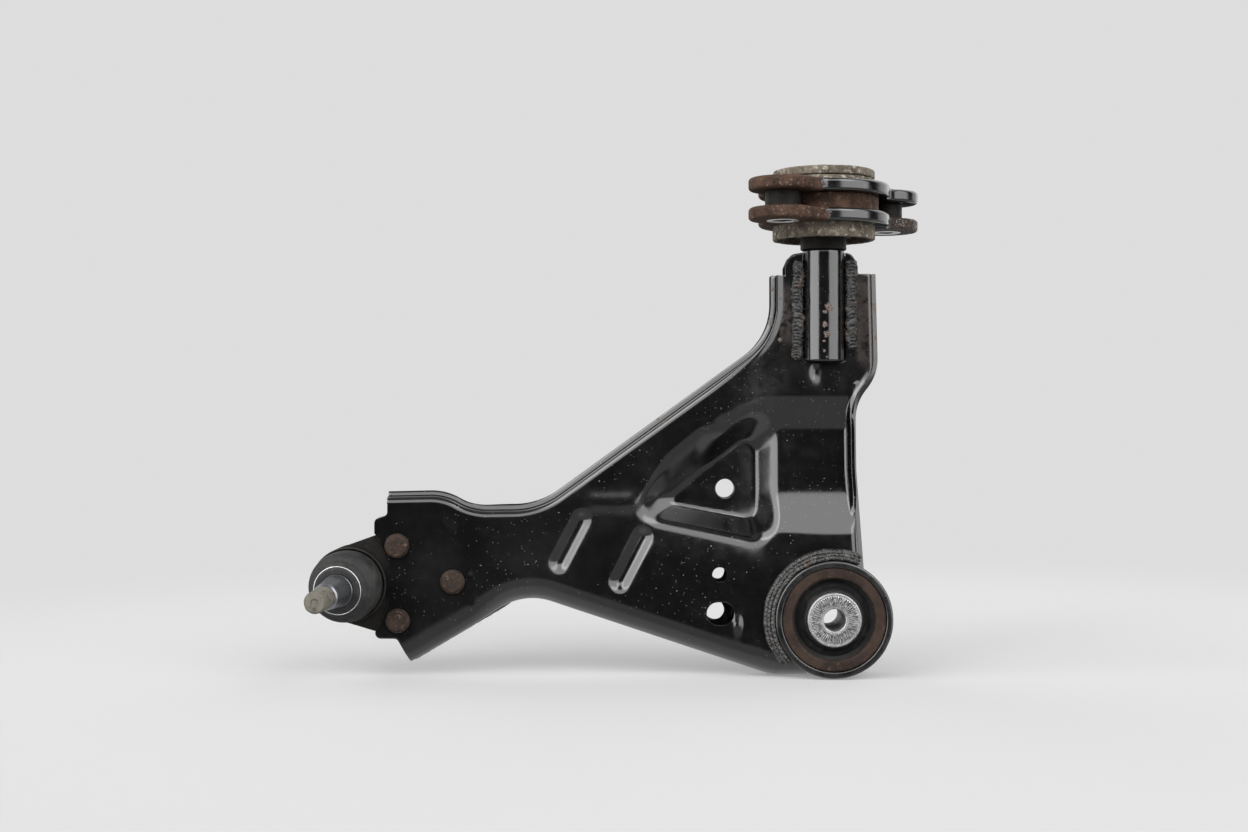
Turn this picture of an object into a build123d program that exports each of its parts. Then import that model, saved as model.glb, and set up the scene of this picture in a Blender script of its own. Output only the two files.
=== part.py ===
"""Pressed-steel control arm with a riveted ball joint, a ring bush and a pin bush with its bracket.

Millimetres.  X runs along the arm towards the bushes, Z from the ring bush towards the pin bush,
and the ball stud points along -Y.  The origin is the centre of the ring bush.
"""
from build123d import *
import os
from math import cos, sin, tan, atan2, degrees, radians, hypot

os.makedirs("parts", exist_ok=True)

# ---------------------------------------------------------------- driving dimensions
sheet = 3.0                 # thickness of both pressed shells
gap = 0.3                   # clearance between separate bodies
front_y = -13.0             # front face of the front shell
rear_y = 13.0               # back face of the rear shell
front_flange_y = 4.0        # the front shell's flanges end here
wrap_flange_y = -6.0        # the rear shell's flange reaches forward to here, outside the front shell
bend_radius = 4.0

# ring bush, axis along Y through the origin
ring_r = 37.5
ring_wall = 4.2
ring_front_y = -22.0
ring_rear_y = 20.0
bush_bore_r = 7.0
bush_sleeve_r = 17.5
bush_sleeve_half = 23.0
swell_r = 54.0              # foot of the cone that rises to the ring
swell_y = -18.5

# pivot pin and pin bush, axis along Z
pin_x = -5.0
pin_y = -4.0
pin_r = 13.5
pin_bottom_z = 164.5
pin_shoulder_z = 236.0
pin_spigot_r = 11.0
pin_top_z = 287.3
inner_sleeve_r = 14.7
outer_sleeve_r = 32.8
outer_sleeve_wall = 3.2
collar_bottom_z = 242.5
plate_t = 8.0
lower_plate_z = 251.5
upper_plate_z = 270.0
sleeve_top_z = 281.2
washer_t = 5.6

# bracket, offsets from the pin axis
bracket_disc_r = 42.0
lobe_r = 21.5
left_bolt = (-29.5, -36.0)
right_bolt = (45.0, 36.0)
bolt_hole_r = 6.5
spacer_r = 11.2

# ball joint, housing axis along -Y
ball_x = -310.0
ball_y = 2.0
ball_z = 21.6
ball_r = 14.0
housing_r = 24.0
stud_tilt = 8.3             # rest tilt of the stud from the housing axis
stud_side = (-10.5, -4.8)   # direction of that tilt in X and Z
boot_top_s = 34.0           # distances along the stud from the ball centre
thread_start_s = 60.0
stud_tip_s = 80.0
rivet_places = ((-279.0, 46.5), (-278.5, -1.5), (-243.5, 23.5))
rivet_shank_r = 4.0
rivet_head_r = 7.85
flange_front_y = -9.7       # the ball joint's flange lies between the two sheets
flange_t = 5.0


# ---------------------------------------------------------------- helpers
def facing(y):
    """Plane at depth y, with local x = X and local y = Z; extruding goes towards -Y."""
    return Plane.XZ.offset(-y)


def about_bush(y=0.0):
    """Plane through the ring bush axis for revolved profiles: local x = radius, local y = Y."""
    return Plane(origin=(0, y, 0), x_dir=(1, 0, 0), z_dir=(0, 0, 1))


def pin_plane():
    """Plane through the pin axis: local x = radius, local y = Z."""
    return Plane(origin=(pin_x, pin_y, 0), x_dir=(1, 0, 0), z_dir=(0, -1, 0))


pin_axis = Axis((pin_x, pin_y, 0), (0, 0, 1))
bush_axis = Axis((0, 0, 0), (0, 1, 0))
housing_axis = Axis((ball_x, ball_y, ball_z), (0, -1, 0))
side_length = hypot(*stud_side)
stud_direction = Vector(
    sin(radians(stud_tilt)) * stud_side[0] / side_length,
    -cos(radians(stud_tilt)),
    sin(radians(stud_tilt)) * stud_side[1] / side_length,
)
stud_axis = Axis((ball_x, ball_y, ball_z), stud_direction)


def housing_plane():
    """Plane through the housing axis: local x = radius, local y = distance in front of the ball."""
    return Plane(origin=(ball_x, ball_y, ball_z), x_dir=(1, 0, 0), z_dir=(0, 0, -1))


def stud_plane():
    """Plane through the stud axis: local x = radius, local y = distance along the stud."""
    across = stud_direction.cross(Vector(0, 0, 1)).normalized()
    return Plane(origin=(ball_x, ball_y, ball_z), x_dir=across, z_dir=across.cross(stud_direction))


def moved_edges(corners, distances):
    """Move each edge of a closed outline inwards by its own distance and return the new corners.

    corners holds (x, z, radius) clockwise; edge i starts at corner i.
    """
    lines = []
    count = len(corners)
    for index in range(count):
        x0, z0, _ = corners[index]
        x1, z1, _ = corners[(index + 1) % count]
        length = hypot(x1 - x0, z1 - z0)
        run = ((x1 - x0) / length, (z1 - z0) / length)
        inward = (run[1], -run[0])
        start = (x0 + inward[0] * distances[index], z0 + inward[1] * distances[index])
        lines.append((start, run))
    moved = []
    for index in range(count):
        (ax, az), (au, aw) = lines[index - 1]
        (bx, bz), (bu, bw) = lines[index]
        turn = au * bw - aw * bu
        along = ((bx - ax) * bw - (bz - az) * bu) / turn
        step = (distances[index - 1] + distances[index]) / 2
        radius = corners[index][2] + (step if turn > 0 else -step)
        moved.append((ax + au * along, az + aw * along, max(radius, 0.6)))
    return moved


def outline_face(corners):
    """Closed face from rounded corners."""
    with BuildSketch(Plane.XY) as face:
        with BuildLine():
            FilletPolyline(
                [(x, z) for x, z, _ in corners],
                radius=[radius for _, _, radius in corners],
                close=True,
            )
        make_face()
    return face.sketch


# ---------------------------------------------------------------- shell outline
# clockwise, starting at the upper left; the long lower edge carries no wrapped flange
shell_corners = [
    (-294.5, 81.0, 8.0),
    (-248.5, 82.0, 36.0),
    (-230.5, 72.0, 36.0),
    (-189.0, 72.5, 50.0),
    (-39.0, 181.0, 41.0),
    (-39.0, 234.5, 9.0),
    (28.0, 234.5, 9.0),
    (30.0, 156.5, 30.0),
    (15.5, 137.5, 30.0),
    (16.0, 95.0, 100.0),
    (26.0, -38.0, 12.0),
    (-38.5, -38.0, 40.0),
    (-197.5, 15.0, 38.0),
    (-294.5, -42.5, 8.0),
]
WRAP, BUTT, OPEN = "wrap", "butt", "open"
edge_kinds = [WRAP, WRAP, WRAP, WRAP, WRAP, OPEN, WRAP, WRAP, WRAP, WRAP, BUTT, BUTT, BUTT, OPEN]


def edge_distances(wrap, butt, open_end):
    """One inward distance for each edge of the outline, by the kind of edge."""
    amount = {WRAP: wrap, BUTT: butt, OPEN: open_end}
    return [amount[kind] for kind in edge_kinds]


# material cut from the outline at its two open ends
end_notches = [
    [(-320.0, 64.5, 3.0), (-320.0, 110.0, 3.0), (-285.5, 110.0, 3.0), (-285.5, 64.5, 4.0)],
    [(-320.0, -60.0, 3.0), (-320.0, -12.5, 3.0), (-279.0, -13.0, 4.0), (-260.0, -48.0, 3.0)],
    [(-60.0, 220.0, 3.0), (-60.0, 250.0, 3.0), (-30.0, 250.0, 3.0), (-30.0, 220.0, 5.0)],
    [(18.0, 221.0, 5.0), (18.0, 250.0, 3.0), (50.0, 250.0, 3.0), (50.0, 221.0, 3.0)],
    [(-16.0, -60.0, 3.0), (-16.0, -20.0, 3.0), (50.0, -20.0, 3.0), (50.0, -60.0, 3.0)],
]


def core_face(wrap=0.0, butt=0.0):
    """Outline of a shell before its open ends are notched."""
    return outline_face(moved_edges(shell_corners, edge_distances(wrap, butt, 0.0)))


def notches_face():
    """Everything that is cut from the open ends."""
    with BuildSketch(Plane.XY) as face:
        for notch in end_notches:
            add(outline_face(notch))
        with Locations((-339.5, 22.5)):
            Circle(56)
    return face.sketch


def cavity_face(wrap, butt):
    """Inside of a shell: past the open ends, and a wall's thickness inside the flanged edges."""
    return outline_face(moved_edges(shell_corners, edge_distances(wrap, butt, -20.0)))


def pressed(floor, floor_y, rim_y, slope):
    """Solid that opens out from a floor outline towards its rim, for a recess or for its wall."""
    height = floor_y - rim_y
    with BuildPart() as solid:
        with BuildSketch(facing(floor_y)):
            add(floor)
        extrude(amount=height, taper=-degrees(atan2(slope, height)))
    return solid.part


def same_distance(corners, distance):
    """Outline with all its edges moved inwards by one distance."""
    return moved_edges(corners, [distance] * len(corners))


# ---------------------------------------------------------------- pressed features of the front shell
triangle_floor = [(-105.5, 74.5, 4.0), (-49.3, 120.5, 11.0), (-49.0, 63.5, 9.0)]
triangle_depth = 9.0
triangle_slope = 9.5
groove_r = 8.5
groove_floor_r = 3.0
groove_depth = 5.0
groove_lines = (((-161.0, 65.0), (-175.5, 36.0)), ((-121.0, 52.0), (-136.0, 24.0)))
trough_floor = [(-26.0, 152.0, 8.0), (-26.0, 260.0, 4.0), (16.0, 260.0, 4.0), (16.0, 152.0, 8.0)]
trough_depth = 6.5
trough_slope = 4.0



def slot_face(ends, r):
    """Round-ended slot between two points."""
    (x0, z0), (x1, z1) = ends
    length = hypot(x1 - x0, z1 - z0)
    turn = degrees(atan2(z1 - z0, x1 - x0))
    with BuildSketch(Plane.XY) as face:
        with Locations(Location(((x0 + x1) / 2, (z0 + z1) / 2), turn)):
            SlotCenterToCenter(length, 2 * r)
    return face.sketch


# each recess is (floor, floor grown by the wall, depth, slope of its side)
grow = sheet * 0.8
recesses = [
    (outline_face(floor), outline_face(same_distance(floor, -grow)), depth, slope)
    for floor, depth, slope in (
        (triangle_floor, triangle_depth, triangle_slope),
        (trough_floor, trough_depth, trough_slope),
    )
]
for ends in groove_lines:
    floor = slot_face(ends, groove_floor_r)
    grown = slot_face(ends, groove_floor_r + grow)
    recesses.append((floor, grown, groove_depth, groove_r - groove_floor_r))

walls = []
voids = []
for floor, grown, depth, slope in recesses:
    voids.append(pressed(floor, front_y + depth, front_y, slope))
    wall_height = depth + sheet / 2
    wall_slope = slope * wall_height / depth
    walls.append(pressed(grown, front_y + depth + sheet, front_y + sheet / 2, wall_slope))

with BuildPart() as recess_walls:
    for wall in walls:
        add(wall)
    with BuildSketch(facing(front_flange_y)):
        add(core_face(wrap=sheet + gap))
    extrude(amount=30, mode=Mode.INTERSECT)

with BuildPart() as swell:
    with BuildSketch(about_bush()):
        with BuildLine():
            Polyline(
                (ring_r + gap, swell_y),
                (ring_r + 3, swell_y),
                (swell_r, front_y),
                (swell_r, front_y + sheet),
                (ring_r + 3, swell_y + sheet),
                (ring_r + gap, swell_y + sheet),
                close=True,
            )
        make_face()
    revolve(axis=bush_axis)
    with BuildSketch(facing(front_y + sheet)):
        add(core_face(wrap=sheet + gap))
    extrude(amount=20, mode=Mode.INTERSECT)


# ---------------------------------------------------------------- front shell
land_y = flange_front_y + flange_t + gap      # the rear sheet lies here behind the ball joint's flange
land_end_x = -236.0
ramp_end_x = -206.0


def side_profile(land, deep, front):
    """Solid in front of a stepped back: depth land at the ball joint end, deep beyond the ramp."""
    with BuildPart() as solid:
        with BuildSketch(Plane.XY.offset(-80)):
            with BuildLine():
                Polyline(
                    (-320, land),
                    (land_end_x, land),
                    (ramp_end_x, deep),
                    (60, deep),
                    (60, front),
                    (-320, front),
                    close=True,
                )
            make_face()
        extrude(amount=360)
    return solid.part


def shell_holes(slot):
    """Round holes that go through both sheets, and the bush, slot and rivet holes."""
    with BuildSketch(Plane.XY) as holes:
        with Locations((0, 0)):
            Circle(ring_r + gap)
        with Locations((-68.0, 82.5)):
            Circle(6.2)
        with Locations((-72.5, 28.0)):
            Circle(4.7)
        if slot:
            with Locations((-72.0, 3.0)):
                SlotOverall(17.5, 14.6)
        else:
            with Locations((-74.5, 3.5)):
                Circle(6.7)
        with Locations(rivet_places):
            Circle(rivet_shank_r + 0.05)
    return holes.sketch


with BuildPart() as arm_front_shell:
    with BuildSketch(facing(front_flange_y)):
        add(core_face(wrap=sheet + gap))
    extrude(amount=front_flange_y - front_y)
    fillet(arm_front_shell.faces().sort_by(Axis.Y)[0].edges(), radius=bend_radius)
    with BuildSketch(facing(front_flange_y)):
        add(cavity_face(wrap=2 * sheet + gap, butt=sheet))
    extrude(amount=front_flange_y - front_y - sheet, mode=Mode.SUBTRACT)
    add(recess_walls.part)
    add(swell.part)
    for void in voids:
        add(void, mode=Mode.SUBTRACT)
    with BuildSketch(facing(front_flange_y + 5)):
        add(shell_holes(slot=True))
        add(notches_face())
    extrude(amount=60, mode=Mode.SUBTRACT)
    with BuildSketch(facing(10)):
        with BuildLine():
            FilletPolyline(
                (pin_x - pin_r - gap, pin_bottom_z - gap),
                (pin_x + pin_r + gap, pin_bottom_z - gap),
                (pin_x + pin_r + gap, 260),
                (pin_x - pin_r - gap, 260),
                radius=0.5,
                close=True,
            )
        make_face()
    extrude(amount=40, mode=Mode.SUBTRACT)
    add(side_profile(land_y - gap, front_flange_y, -60), mode=Mode.INTERSECT)
arm_front_shell.part.label = "arm_front_shell"
export_step(arm_front_shell.part, "parts/arm_front_shell.step")


# ---------------------------------------------------------------- rear shell
with BuildPart() as rear_cavity:
    with BuildSketch(facing(rear_y)):
        add(cavity_face(wrap=sheet, butt=sheet))
    extrude(amount=40)
    add(side_profile(land_y, rear_y - sheet, -60), mode=Mode.INTERSECT)

with BuildPart() as front_shell_room:
    with BuildSketch(facing(rear_y)):
        add(core_face(wrap=sheet + gap, butt=-gap))
    extrude(amount=40)
    add(side_profile(land_y, front_flange_y + gap, -60), mode=Mode.INTERSECT)

with BuildPart() as arm_rear_shell:
    with BuildSketch(facing(rear_y)):
        add(core_face())
    extrude(amount=rear_y - wrap_flange_y)
    fillet(arm_rear_shell.faces().sort_by(Axis.Y)[-1].edges(), radius=bend_radius)
    add(side_profile(land_y + sheet, rear_y, wrap_flange_y), mode=Mode.INTERSECT)
    add(rear_cavity.part, mode=Mode.SUBTRACT)
    add(front_shell_room.part, mode=Mode.SUBTRACT)
    with BuildSketch(facing(rear_y + 5)):
        add(shell_holes(slot=False))
        add(notches_face())
    extrude(amount=60, mode=Mode.SUBTRACT)
arm_rear_shell.part.label = "arm_rear_shell"
export_step(arm_rear_shell.part, "parts/arm_rear_shell.step")


# ---------------------------------------------------------------- ring bush
def turned(profile, plane, axis):
    """Solid of revolution from a closed profile of (radius, distance) points."""
    with BuildPart() as solid:
        with BuildSketch(plane):
            with BuildLine():
                Polyline(*profile, close=True)
            make_face()
        revolve(axis=axis)
    return solid.part


ring_bore_r = ring_r - ring_wall
ring_chamfer = 1.0
with BuildPart() as bush_housing_ring:
    add(turned(
        [
            (ring_bore_r, ring_front_y + 0.6),
            (ring_bore_r + 0.6, ring_front_y),
            (ring_r - ring_chamfer, ring_front_y),
            (ring_r, ring_front_y + ring_chamfer),
            (ring_r, ring_rear_y - ring_chamfer),
            (ring_r - ring_chamfer, ring_rear_y),
            (ring_bore_r + 0.6, ring_rear_y),
            (ring_bore_r, ring_rear_y - 0.6),
        ],
        about_bush(),
        bush_axis,
    ))
bush_housing_ring.part.label = "bush_housing_ring"
export_step(bush_housing_ring.part, "parts/bush_housing_ring.step")

fit = 0.02                  # radial clearance of pressed-in bush parts
bush_shell_r = ring_bore_r - fit
bush_shell_wall = 2.0
collar_r = 26.0
with BuildPart() as front_bush_outer_sleeve:
    add(turned(
        [
            (collar_r + 0.8, ring_front_y + 1.0),
            (bush_shell_r - 0.8, ring_front_y + 1.0),
            (bush_shell_r, ring_front_y + 1.8),
            (bush_shell_r, ring_rear_y - 1.5),
            (bush_shell_r - bush_shell_wall, ring_rear_y - 1.5),
            (bush_shell_r - bush_shell_wall, ring_front_y + 5.0),
            (collar_r, ring_front_y + 5.0),
            (collar_r, ring_front_y + 1.8),
        ],
        about_bush(),
        bush_axis,
    ))
front_bush_outer_sleeve.part.label = "front_bush_outer_sleeve"
export_step(front_bush_outer_sleeve.part, "parts/front_bush_outer_sleeve.step")

rubber_r = bush_shell_r - bush_shell_wall - fit
with BuildPart() as front_bush_rubber:
    add(turned(
        [
            (bush_sleeve_r + fit, -19.0),
            (bush_sleeve_r + 2.0, -18.0),
            (bush_sleeve_r + 5.0, -13.0),
            (collar_r, -14.5),
            (rubber_r, -16.0),
            (rubber_r, 16.5),
            (25.0, 12.0),
            (bush_sleeve_r + 2.0, 18.0),
            (bush_sleeve_r + fit, 19.0),
        ],
        about_bush(),
        bush_axis,
    ))
front_bush_rubber.part.label = "front_bush_rubber"
export_step(front_bush_rubber.part, "parts/front_bush_rubber.step")

tooth_count = 48
tooth_depth = 0.5
with BuildPart() as front_bush_inner_sleeve:
    add(turned(
        [
            (bush_bore_r + 0.8, -bush_sleeve_half),
            (bush_sleeve_r - 1.0, -bush_sleeve_half),
            (bush_sleeve_r, -bush_sleeve_half + 1.0),
            (bush_sleeve_r, bush_sleeve_half - 1.0),
            (bush_sleeve_r - 1.0, bush_sleeve_half),
            (bush_bore_r + 0.8, bush_sleeve_half),
            (bush_bore_r, bush_sleeve_half - 0.8),
            (bush_bore_r, -bush_sleeve_half + 0.8),
        ],
        about_bush(),
        bush_axis,
    ))
    with BuildSketch(facing(-bush_sleeve_half)):
        with PolarLocations(12.2, tooth_count):
            Rectangle(6.0, 0.5)
    extrude(amount=-tooth_depth, mode=Mode.SUBTRACT)
front_bush_inner_sleeve.part.label = "front_bush_inner_sleeve"
export_step(front_bush_inner_sleeve.part, "parts/front_bush_inner_sleeve.step")

# weld beads are half-round strips in the corner between two pieces
ring_bead_r = 3.2
bead_start, bead_sweep = 62.0, 160.0          # degrees round the ring, from the upper right
with BuildPart() as bush_ring_weld:
    start_dir = Vector(cos(radians(bead_start)), 0, sin(radians(bead_start)))
    start_plane = Plane(origin=(0, 0, 0), x_dir=start_dir, z_dir=start_dir.cross(Vector(0, 1, 0)))
    with BuildSketch(start_plane):
        with BuildLine():
            Polyline(
                (ring_r + 0.05, swell_y - 2.6),
                (ring_r + 1.4, swell_y - 2.6),
                (ring_r + 3.0, swell_y - 1.2),
                (ring_r + 3.4, swell_y - 0.1),
                (ring_r + 0.05, swell_y - 0.1),
                close=True,
            )
        make_face()
    revolve(axis=Axis((0, 0, 0), (0, -1, 0)), revolution_arc=bead_sweep)
bush_ring_weld.part.label = "bush_ring_weld"
export_step(bush_ring_weld.part, "parts/bush_ring_weld.step")


# ---------------------------------------------------------------- pivot pin and its welds
with BuildPart() as pivot_pin:
    add(turned(
        [
            (0, pin_bottom_z),
            (pin_r - 0.8, pin_bottom_z),
            (pin_r, pin_bottom_z + 0.8),
            (pin_r, pin_shoulder_z),
            (pin_spigot_r, pin_shoulder_z + 0.3),
            (pin_spigot_r, pin_top_z),
            (pin_spigot_r + 3.0, pin_top_z + 0.1),
            (pin_spigot_r + 2.0, pin_top_z + 2.2),
            (pin_spigot_r - 4.0, pin_top_z + 3.4),
            (0, pin_top_z + 3.4),
        ],
        pin_plane(),
        pin_axis,
    ))
pivot_pin.part.label = "pivot_pin"
export_step(pivot_pin.part, "parts/pivot_pin.step")

bead_r = 4.2
bead_y = front_y + trough_depth + 0.4
for side, bottom, top, name in (
    (-1, 165.0, 231.0, "pin_weld_left"),
    (1, 172.0, 232.0, "pin_weld_right"),
):
    with BuildPart() as bead:
        with BuildSketch(Plane.XY.offset(bottom)):
            with Locations((pin_x + side * (pin_r + 2.6), front_y + trough_depth - 0.4)):
                Circle(bead_r)
            with Locations((pin_x, front_y + trough_depth + 25)):
                Rectangle(60, 50.2, mode=Mode.SUBTRACT)
            with Locations((pin_x, pin_y)):
                Circle(pin_r + 0.05, mode=Mode.SUBTRACT)
        extrude(amount=top - bottom)
    bead.part.label = name
    export_step(bead.part, "parts/" + name + ".step")

# seam weld along the lower edge, where the flanges of the two shells butt together
seam_r = 3.0
seam_height = 0.9
seam_start = 28.0
seam_length = 112.0
low_x, low_z, _ = shell_corners[-2]
high_x, high_z, _ = shell_corners[-3]
edge_length = hypot(high_x - low_x, high_z - low_z)
run_x, run_z = (high_x - low_x) / edge_length, (high_z - low_z) / edge_length
seam_plane = Plane(
    origin=(low_x + run_x * seam_start, front_flange_y + gap / 2, low_z + run_z * seam_start),
    x_dir=(run_z, 0, -run_x),
    z_dir=(run_x, 0, run_z),
)
with BuildPart() as shell_seam_weld:
    with BuildSketch(seam_plane):
        with Locations((seam_height - seam_r, 0)):
            Circle(seam_r)
        with Locations((-10 + 0.05, 0)):
            Rectangle(20, 20, mode=Mode.SUBTRACT)
    extrude(amount=seam_length)
shell_seam_weld.part.label = "shell_seam_weld"
export_step(shell_seam_weld.part, "parts/shell_seam_weld.step")


# ---------------------------------------------------------------- pin bush
with BuildPart() as rear_bush_inner_sleeve:
    add(turned(
        [
            (pin_spigot_r + fit, pin_shoulder_z + 0.4),
            (inner_sleeve_r, pin_shoulder_z + 0.4),
            (inner_sleeve_r, sleeve_top_z + 0.3),
            (pin_spigot_r + fit, sleeve_top_z + 0.3),
        ],
        pin_plane(),
        pin_axis,
    ))
rear_bush_inner_sleeve.part.label = "rear_bush_inner_sleeve"
export_step(rear_bush_inner_sleeve.part, "parts/rear_bush_inner_sleeve.step")

outer_bore_r = outer_sleeve_r - outer_sleeve_wall
with BuildPart() as rear_bush_rubber:
    add(turned(
        [
            (inner_sleeve_r + fit, collar_bottom_z + 1.5),
            (inner_sleeve_r + 3.0, collar_bottom_z + 2.5),
            (22.0, collar_bottom_z + 7.0),
            (outer_bore_r - fit, collar_bottom_z + 5.0),
            (outer_bore_r - fit, sleeve_top_z - 1.0),
            (22.0, sleeve_top_z - 3.0),
            (inner_sleeve_r + fit, sleeve_top_z - 1.0),
        ],
        pin_plane(),
        pin_axis,
    ))
rear_bush_rubber.part.label = "rear_bush_rubber"
export_step(rear_bush_rubber.part, "parts/rear_bush_rubber.step")

with BuildPart() as rear_bush_outer_sleeve:
    add(turned(
        [
            (outer_bore_r, collar_bottom_z + 0.8),
            (outer_bore_r + 0.8, collar_bottom_z),
            (outer_sleeve_r - 1.0, collar_bottom_z),
            (outer_sleeve_r, collar_bottom_z + 1.0),
            (outer_sleeve_r, sleeve_top_z),
            (outer_bore_r, sleeve_top_z),
        ],
        pin_plane(),
        pin_axis,
    ))
rear_bush_outer_sleeve.part.label = "rear_bush_outer_sleeve"
export_step(rear_bush_outer_sleeve.part, "parts/rear_bush_outer_sleeve.step")

washer_bottom_z = pin_top_z - 0.05 - washer_t
with BuildPart() as rear_bush_washer:
    add(turned(
        [
            (pin_spigot_r + fit, washer_bottom_z),
            (outer_sleeve_r - 1.2, washer_bottom_z),
            (outer_sleeve_r - 0.2, washer_bottom_z + 1.0),
            (outer_sleeve_r - 0.2, washer_bottom_z + washer_t - 1.2),
            (outer_sleeve_r - 1.4, washer_bottom_z + washer_t),
            (pin_spigot_r + fit, washer_bottom_z + washer_t),
        ],
        pin_plane(),
        pin_axis,
    ))
rear_bush_washer.part.label = "rear_bush_washer"
export_step(rear_bush_washer.part, "parts/rear_bush_washer.step")


# ---------------------------------------------------------------- bracket
bolt_places = [(pin_x + offset_x, pin_y + offset_y) for offset_x, offset_y in (left_bolt, right_bolt)]
spigot_r = 10.2             # the spacers' stepped ends sit in the plates
waist_r = 14.0              # concave fillets between the disc and the lobes


def is_waist(vertex):
    """True where the rim of the disc meets the rim of a lobe."""
    if abs(hypot(vertex.X - pin_x, vertex.Y - pin_y) - bracket_disc_r) > 0.01:
        return False
    return any(abs(hypot(vertex.X - x, vertex.Y - y) - lobe_r) < 0.01 for x, y in bolt_places)


def plate_face():
    """Plan of a bracket plate: a disc round the bush and a lobe round each bolt."""
    with BuildSketch(Plane.XY) as face:
        with Locations((pin_x, pin_y)):
            Circle(bracket_disc_r)
        with Locations(bolt_places):
            Circle(lobe_r)
        fillet(face.vertices().filter_by(is_waist), radius=waist_r)
        with Locations((pin_x, pin_y)):
            Circle(outer_sleeve_r + fit, mode=Mode.SUBTRACT)
        with Locations(bolt_places):
            Circle(spigot_r + fit, mode=Mode.SUBTRACT)
    return face.sketch


for bottom, name in ((lower_plate_z, "bracket_lower_plate"), (upper_plate_z, "bracket_upper_plate")):
    with BuildPart() as plate:
        with BuildSketch(Plane.XY.offset(bottom)):
            add(plate_face())
        extrude(amount=plate_t)
        rims = plate.faces().filter_by(Axis.Z)
        fillet([edge for rim in rims for edge in rim.outer_wire().edges()], radius=2.2)
    plate.part.label = name
    export_step(plate.part, "parts/" + name + ".step")

lower_plate_top = lower_plate_z + plate_t
upper_plate_top = upper_plate_z + plate_t
touch = 0.02                # left between parts of one body that rest on each other
for (x, y), name in zip(bolt_places, ("bracket_spacer_left", "bracket_spacer_right")):
    with BuildPart() as spacer:
        with BuildSketch(Plane.XY.offset(lower_plate_z - 0.3)):
            with Locations((x, y)):
                Circle(spigot_r)
        extrude(amount=upper_plate_top - lower_plate_z + 0.6)
        with BuildSketch(Plane.XY.offset(lower_plate_top + touch)):
            with Locations((x, y)):
                Circle(spacer_r)
        extrude(amount=upper_plate_z - lower_plate_top - 2 * touch)
        with BuildSketch(Plane.XY.offset(lower_plate_z - 1)):
            with Locations((x, y)):
                Circle(bolt_hole_r)
        extrude(amount=60, mode=Mode.SUBTRACT)
    spacer.part.label = name
    export_step(spacer.part, "parts/" + name + ".step")

band_r = 35.0
with BuildPart() as bracket_centre_band:
    add(turned(
        [
            (outer_sleeve_r + fit, lower_plate_top + touch),
            (band_r, lower_plate_top + touch),
            (band_r, upper_plate_z - touch),
            (outer_sleeve_r + fit, upper_plate_z - touch),
        ],
        pin_plane(),
        pin_axis,
    ))
bracket_centre_band.part.label = "bracket_centre_band"
export_step(bracket_centre_band.part, "parts/bracket_centre_band.step")


# ---------------------------------------------------------------- ball joint
seat_r = 17.0
seat_clearance = 0.05
cover_r = 19.0
neck_r = 19.5
boss_r = 11.0
ball_place = (ball_x, ball_z)


def in_front(y):
    """Distance in front of the ball centre of a plane at depth y."""
    return ball_y - y


with BuildPart() as ball_joint_housing:
    with BuildSketch(facing(flange_front_y + flange_t)) as flange:
        with Locations(ball_place):
            Circle(housing_r)
        with Locations(rivet_places):
            Circle(boss_r)
        make_hull()
        with Locations(rivet_places):
            Circle(rivet_shank_r + 0.05, mode=Mode.SUBTRACT)
        with Locations(ball_place):
            Circle(neck_r, mode=Mode.SUBTRACT)
    extrude(amount=flange_t)
    add(turned(
        [
            (seat_r + fit, -13.0),
            (cover_r + fit, -13.0),
            (cover_r + fit, -15.6),
            (cover_r - 1.5, -15.6),
            (cover_r - 1.0, -16.8),
            (housing_r - 2.5, -16.8),
            (housing_r, -14.0),
            (housing_r, 12.0),
            (housing_r - 1.0, 13.5),
            (neck_r, 13.5),
            (neck_r, 19.5),
            (17.4, 19.5),
            (14.25, 9.7),
            (seat_r + fit, 5.0),
        ],
        housing_plane(),
        housing_axis,
    ))
ball_joint_housing.part.label = "ball_joint_housing"
export_step(ball_joint_housing.part, "parts/ball_joint_housing.step")

with BuildPart() as ball_joint_seat:
    add(turned(
        [(0, -12.95), (seat_r, -12.95), (seat_r, 5.0), (14.2, 9.6), (9.0, 9.6), (0, 9.6)],
        housing_plane(),
        housing_axis,
    ))
    with Locations((ball_x, ball_y, ball_z)):
        Sphere(ball_r + seat_clearance, mode=Mode.SUBTRACT)
    add(turned([(0, 0), (12.4, 0), (12.4, 11), (0, 11)], housing_plane(), housing_axis), mode=Mode.SUBTRACT)
    add(turned([(0, -13.5), (3.0, -13.5), (3.0, 0), (0, 0)], housing_plane(), housing_axis), mode=Mode.SUBTRACT)
ball_joint_seat.part.label = "ball_joint_seat"
export_step(ball_joint_seat.part, "parts/ball_joint_seat.step")

with BuildPart() as ball_joint_cover:
    add(turned(
        [(0, -15.4), (0, -17.0), (9.0, -17.0), (11.0, -15.5), (cover_r, -15.5), (cover_r, -13.05),
         (10.0, -13.05), (8.5, -15.4)],
        housing_plane(),
        housing_axis,
    ))
ball_joint_cover.part.label = "ball_joint_cover"
export_step(ball_joint_cover.part, "parts/ball_joint_cover.step")

stud_neck_r = 7.5
stud_collar_r = 10.5
with BuildPart() as ball_stud:
    with Locations((ball_x, ball_y, ball_z)):
        Sphere(ball_r)
    add(turned(
        [
            (0, 5.0),
            (stud_neck_r, 5.0),
            (stud_neck_r, 22.0),
            (stud_collar_r, 30.5),
            (stud_collar_r, boot_top_s + 1.2),
            (stud_collar_r - 0.4, boot_top_s + 1.6),
            (8.2, thread_start_s - 1.0),
            (7.0, thread_start_s),
            (7.0, stud_tip_s - 1.2),
            (5.8, stud_tip_s),
            (0, stud_tip_s),
        ],
        stud_plane(),
        stud_axis,
    ))
ball_stud.part.label = "ball_stud"
export_step(ball_stud.part, "parts/ball_stud.step")


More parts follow.
